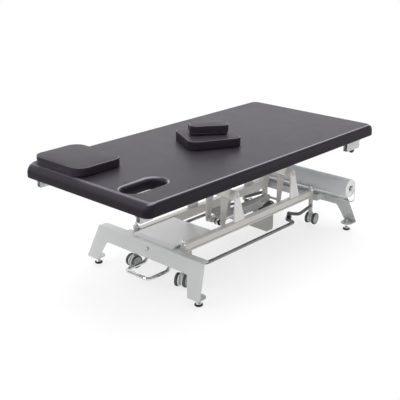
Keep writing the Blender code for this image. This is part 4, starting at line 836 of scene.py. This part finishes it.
SLEEVE = (0.0098, 0.0135, 0.0190, 0.0620)   # bore, radius, start and end from the pin
SLEEVE_COLLAR = (0.012, 0.014)   # the sleeve's thick part ends between these lengths
SLEEVE_TAPER = 0.004
SLEEVE_THIN = (0.9, 0.8)     # shares of the radius behind the thick part and at the end
WASHER = (0.0086, 0.0200, 0.0115, 0.0165)   # bore, radius, inner and outer face from the rod's middle
WASHER_EASE = 0.001


def rod_sleeve(black):
    """Black fork sleeve screwed on the push rod behind its eye, and washers beside the eye."""
    pin = joints["rod_pivot"]["pos_m"]
    low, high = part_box("drive_rod")
    eye = (pin[0], (low.y + high.y) / 2, pin[2])
    bore, radius, start, end = SLEEVE
    thick, thin = (start + length for length in SLEEVE_COLLAR)
    body, tip = (radius * share for share in SLEEVE_THIN)
    mesh = bmesh.new()
    lathe(mesh, [(bore, start), (radius, start), (radius, thick), (body, thin), (body, end - SLEEVE_TAPER),
                 (tip, end), (bore, end)], eye, X_AXIS, sides=20, closed=True)
    bore, radius, inner, outer = WASHER
    for sign in (-1, 1):
        lathe(mesh, [(bore, inner), (radius, inner), (radius, outer - WASHER_EASE),
                     (radius - WASHER_EASE, outer), (bore, outer)],
              eye, Y_AXIS * sign, sides=24, closed=True)
    fitting("rod_sleeve", mesh, black, "push_rod")


PLATE_LEAN = math.radians(21.4)   # end plates from upright
RECESS_ARM = 0.0102
RECESS_HALF = 0.0026
RECESS_AT = 0.0030           # the recess's face from the middle of the bolt
RECESS_ENDS = ((-0.0010, 0.8), (0.0002, 1.0))   # depth and share of the arm's length at the foot and face


def bolt_recess_shade(end, black):
    """Black cross painted as the shade in the cross recess of an end frame's bolt head."""
    low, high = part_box("frame_bolt_" + end)
    sign = -1 if end == "near" else 1
    out = Vector((sign * math.cos(PLATE_LEAN), 0, math.sin(PLATE_LEAN)))
    face = (low + high) / 2 + out * RECESS_AT
    up = Y_AXIS.cross(out)
    mesh = bmesh.new()
    for slant in (QUARTER / 2, -QUARTER / 2):
        along = Y_AXIS * math.cos(slant) + up * math.sin(slant)
        across = out.cross(along)
        skin(mesh, [[face + out * depth + along * (RECESS_ARM * a * share) + across * (RECESS_HALF * b)
                     for a, b in ((-1, -1), (1, -1), (1, 1), (-1, 1))]
                    for depth, share in RECESS_ENDS])
    fitting("bolt_recess_shade_" + end, mesh, black, "base")


COLLAR_BORE = 0.0153
COLLAR_RADIUS = 0.0172
COLLAR_HEIGHT = 0.0150
COLLAR_GROOVE = 0.0016
GROOVE_SHARES = (0.6, 0.5, 0.4, 0.3)   # the groove's edges and floor, as shares of the height from the top
COLLAR_DROP = 0.0006         # the collar's top below the carrier's


def tube_collar(corner, chrome):
    """Chrome collar with a groove round the top of a castor's tube."""
    pivot = joints["castor_swivel_" + corner]["pos_m"]
    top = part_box("castor_carrier_" + corner.split("_")[0])[1].z - COLLAR_DROP
    inner = COLLAR_RADIUS - COLLAR_GROOVE
    foot = -COLLAR_HEIGHT
    groove = zip((COLLAR_RADIUS, inner, inner, COLLAR_RADIUS), (foot * share for share in GROOVE_SHARES))
    mesh = bmesh.new()
    lathe(mesh, [(COLLAR_BORE, foot), (COLLAR_RADIUS, foot), *groove,
                 (COLLAR_RADIUS, -COLLAR_GROOVE), (inner, 0), (COLLAR_BORE, 0)],
          (pivot[0], pivot[1], top), Z_AXIS, sides=28, closed=True)
    fitting("tube_collar_" + corner, mesh, chrome, "base")


RAMP_GAP = 0.0004
RAMP_REACH = 0.0240
RAMP_LIP = 0.0008


def cover_ramp(paint):
    """Folded ramp from the near end frame's flange up to the edge of the cover plate."""
    low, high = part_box("cover_plate")
    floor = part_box("end_frame_near")[1].z + RAMP_GAP
    front, back, half = low.x - RAMP_REACH, low.x - RAMP_GAP, high.y - RAMP_GAP
    profile = [(front, floor), (back, floor), (back, high.z - RAMP_GAP), (front, floor + RAMP_LIP)]
    mesh = bmesh.new()
    skin(mesh, [[(x, y, z) for x, z in profile] for y in (-half, half)])
    fitting("cover_ramp", mesh, paint, "base")


BEAM_FOOT_INSET = 0.0058     # a beam's set-back foot behind its outer face
SHADOW_STRIP_Z = 0.2130            # height of the painted shadow strip, under the step
SHADOW_STRIP_RADIUS = 0.0014


def beam_shadow_strip(side, sign, black):
    """Black strip painted as the shadow in the gap under the step of a base beam's outer face."""
    low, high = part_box("base_beam_" + side)
    face = (high.y if sign > 0 else low.y) - sign * BEAM_FOOT_INSET
    bead = ring((0, SHADOW_STRIP_Z), SHADOW_STRIP_RADIUS, -QUARTER, QUARTER, 6)
    mesh = bmesh.new()
    skin(mesh, [[(x, face + sign * out, z) for out, z in bead] for x in (low.x, high.x)])
    fitting("beam_shadow_strip_" + side, mesh, black, "base")


# Floor and sky


def studio_floor():
    """White floor: the camera sees white with some of the shadow mixed in, reflections see it less white."""
    mesh = bmesh.new()
    bmesh.ops.create_grid(mesh, x_segments=1, y_segments=1, size=FLOOR_HALF)
    bmesh.ops.translate(mesh, verts=mesh.verts, vec=(0, 0, -FLOOR_DROP))
    f = Finish("studio_floor_white")
    f.coat(Base_Color=(1.0, 1.0, 1.0, 1.0), Roughness=0.9, Specular_IOR_Level=0.0)
    camera_ray, glossy_ray, through_ray = (f.node("ShaderNodeLightPath", out=name) for name in SEEN_RAYS)
    x, y, _ = f.axes(f.place())
    away = ((x * SHADOW_STRETCH) ** 2.0 + y ** 2.0) ** 0.5
    shaded = (1.0 - f.step(away, *SHADOW_FADE)) * SHADOW_SHARE
    share = (camera_ray + through_ray) * (1.0 - shaded) + glossy_ray * MIRRORED_WHITE
    glow = f.node("ShaderNodeEmission", inputs={"Color": (1.0, 1.0, 1.0, 1.0), "Strength": 1.0})
    mixed = f.node("ShaderNodeMixShader", inputs={0: share, 1: Flow(f, f.shader.outputs[0]), 2: glow})
    f.fill(f.tree.nodes["Material Output"].inputs["Surface"], mixed)
    make_piece("studio_floor", mesh, f.owner)


def studio_world():
    """Even white light; reflections see a darker sky above the horizon, except behind the object."""
    scene.world = bpy.data.worlds.new("studio_world")
    f = Finish("studio_world", scene.world)
    camera_ray, glossy_ray, through_ray = (f.node("ShaderNodeLightPath", out=name) for name in SEEN_RAYS)
    x, y, height = f.axes(f.node("ShaderNodeTexCoord", out="Generated"))
    seen = (camera_ray + glossy_ray + through_ray) > 0.5
    behind = f.step(x * REAR[0] + y * REAR[1], *REAR_FADE)
    reflected = 1.0 - f.step(height, *SKY_FADE) * (1.0 - behind) * glossy_ray * SKY_DIM
    f.coat(Color=(1.0, 1.0, 1.0, 1.0), Strength=seen * (reflected - AMBIENT) + AMBIENT)


# The scene

aim_camera()
top_vinyl = charcoal_vinyl("top_vinyl_grain", (0.011, 0.0085, 0.0125), (0.015, 0.0120, 0.0170),
                           painted_sheen=(0.026, 0.0220, 0.0310), edge_highlight=0.80, gloss=0.10)
# the pads' vinyl is painted about twice as light as the top's, to make up for the dim light on the pads' sides
pad_vinyl = charcoal_vinyl("pad_vinyl_grain", (0.022, 0.0170, 0.0250), (0.030, 0.0235, 0.0335),
                           painted_sheen=(0.036, 0.0310, 0.0400), edge_highlight=0.40, gloss=0.06)
silver = powder_coat("silver_powder_coat_skin", (0.48, 0.49, 0.49), (0.54, 0.55, 0.55))
pale = powder_coat("pale_powder_coat_skin", (0.72, 0.71, 0.74), (0.77, 0.76, 0.79))
cream = powder_coat("cream_powder_coat_skin", (0.74, 0.72, 0.70), (0.80, 0.78, 0.76))
grey = powder_coat("grey_powder_coat_skin", (0.34, 0.34, 0.33), (0.40, 0.40, 0.39))
warm = powder_coat("warm_powder_coat_skin", (0.60, 0.58, 0.55), (0.66, 0.64, 0.61))
two_tone = powder_coat("carrier_two_tone_skin", (0.48, 0.49, 0.49), (0.54, 0.55, 0.55),
                       arms=(0.09, 0.09, 0.095))
chrome = polished("bright_chrome_polish", (0.74, 0.75, 0.77), (0.86, 0.87, 0.88))
steel = polished("dark_steel_polish", (0.20, 0.20, 0.21), (0.27, 0.27, 0.28))
zinc = zinc_plate()
thread = screw_thread()
rubber = black_rubber()
tread = castor_tread()
hub_grey = moulded_plastic("hub_grey_plastic", (0.42, 0.43, 0.43), (0.50, 0.51, 0.51), grain=500.0)
fork_grey = moulded_plastic("fork_grey_plastic", (0.42, 0.43, 0.44), (0.50, 0.51, 0.52), grain=500.0)
hood_pale = moulded_plastic("hood_pale_plastic", (0.66, 0.67, 0.68), (0.74, 0.75, 0.76), grain=500.0)
black = moulded_plastic("black_moulding", (0.010, 0.010, 0.011), (0.022, 0.022, 0.024), grain=700.0)
board = plywood()
paper = couch_paper()

PAINT = {
    "vinyl": top_vinyl, "board": board, "silver": silver, "warm": warm, "chrome": chrome, "zinc": zinc,
    "rubber": rubber, "tyre": tread, "black": black, "paper": paper,
}
# Pieces whose finish isn't their slot's, by the start of their name
OWN_PAINT = {
    "castor_fork": fork_grey, "foot_screw": thread, "cover_plate": pale, "pivot_bracket": cream,
    "drive_cradle": grey, "foot_bar_front": steel, "foot_bar_rear": steel, "castor_carrier_far": two_tone,
}
for entry in frame["record"]["subparts"]:
    name = entry["node"]
    finish = PAINT[entry["material_slot"]]
    for start, own in OWN_PAINT.items():
        if name.startswith(start):
            finish = own
    nodes[name].data.materials.clear()
    nodes[name].data.materials.append(finish)

EASED = ("end_frame", "castor_carrier", "pivot_bracket", "pivot_cross", "rail_socket", "lift_arm", "tie_bar",
         "drive_", "cover_plate", "control_unit", "castor_fork", "base_beam")
EASED_BY = 0.0009
EASED_FROM = 40.0            # edges with a turn of more degrees than this are eased
for name, node in nodes.items():
    if name.startswith(EASED):
        ease = node.modifiers.new("eased_edges", "BEVEL")
        ease.width = EASED_BY
        ease.segments = 2
        ease.limit_method = "ANGLE"
        ease.angle_limit = math.radians(EASED_FROM)
        ease.harden_normals = True

padded_top(top_vinyl)
for pad in LOOSE_PADS:
    loose_pad(pad, pad_vinyl)
for corner in CORNERS:
    castor_wheels(corner, tread, hub_grey)
    castor_hood(corner, hood_pale)
    castor_nut(corner, chrome)
    tube_collar(corner, chrome)
cover_ramp(pale)
for side, sign in (("front", -1), ("rear", 1)):
    beam_shadow_strip(side, sign, black)
for end in ENDS:
    pivot_caps(end, silver)
    bolt_recess_shade(end, black)
rod_sleeve(black)

studio_floor()
studio_world()
softbox("overhead_softbox", (0.7, 0.5, 3.5), target=(0.2, 0.1, 0.6), size=(4.4, 3.6), power=110.0)
softbox("side_softbox", (-3.6, 1.4, 2.2), target=(-0.3, 0.0, 0.3), size=(2.0, 1.6), power=32.0)
softbox("rear_softbox", (3.5, 3.2, 2.6), target=(0.2, 0.2, 0.7), size=(6.0, 2.4), power=34.0)
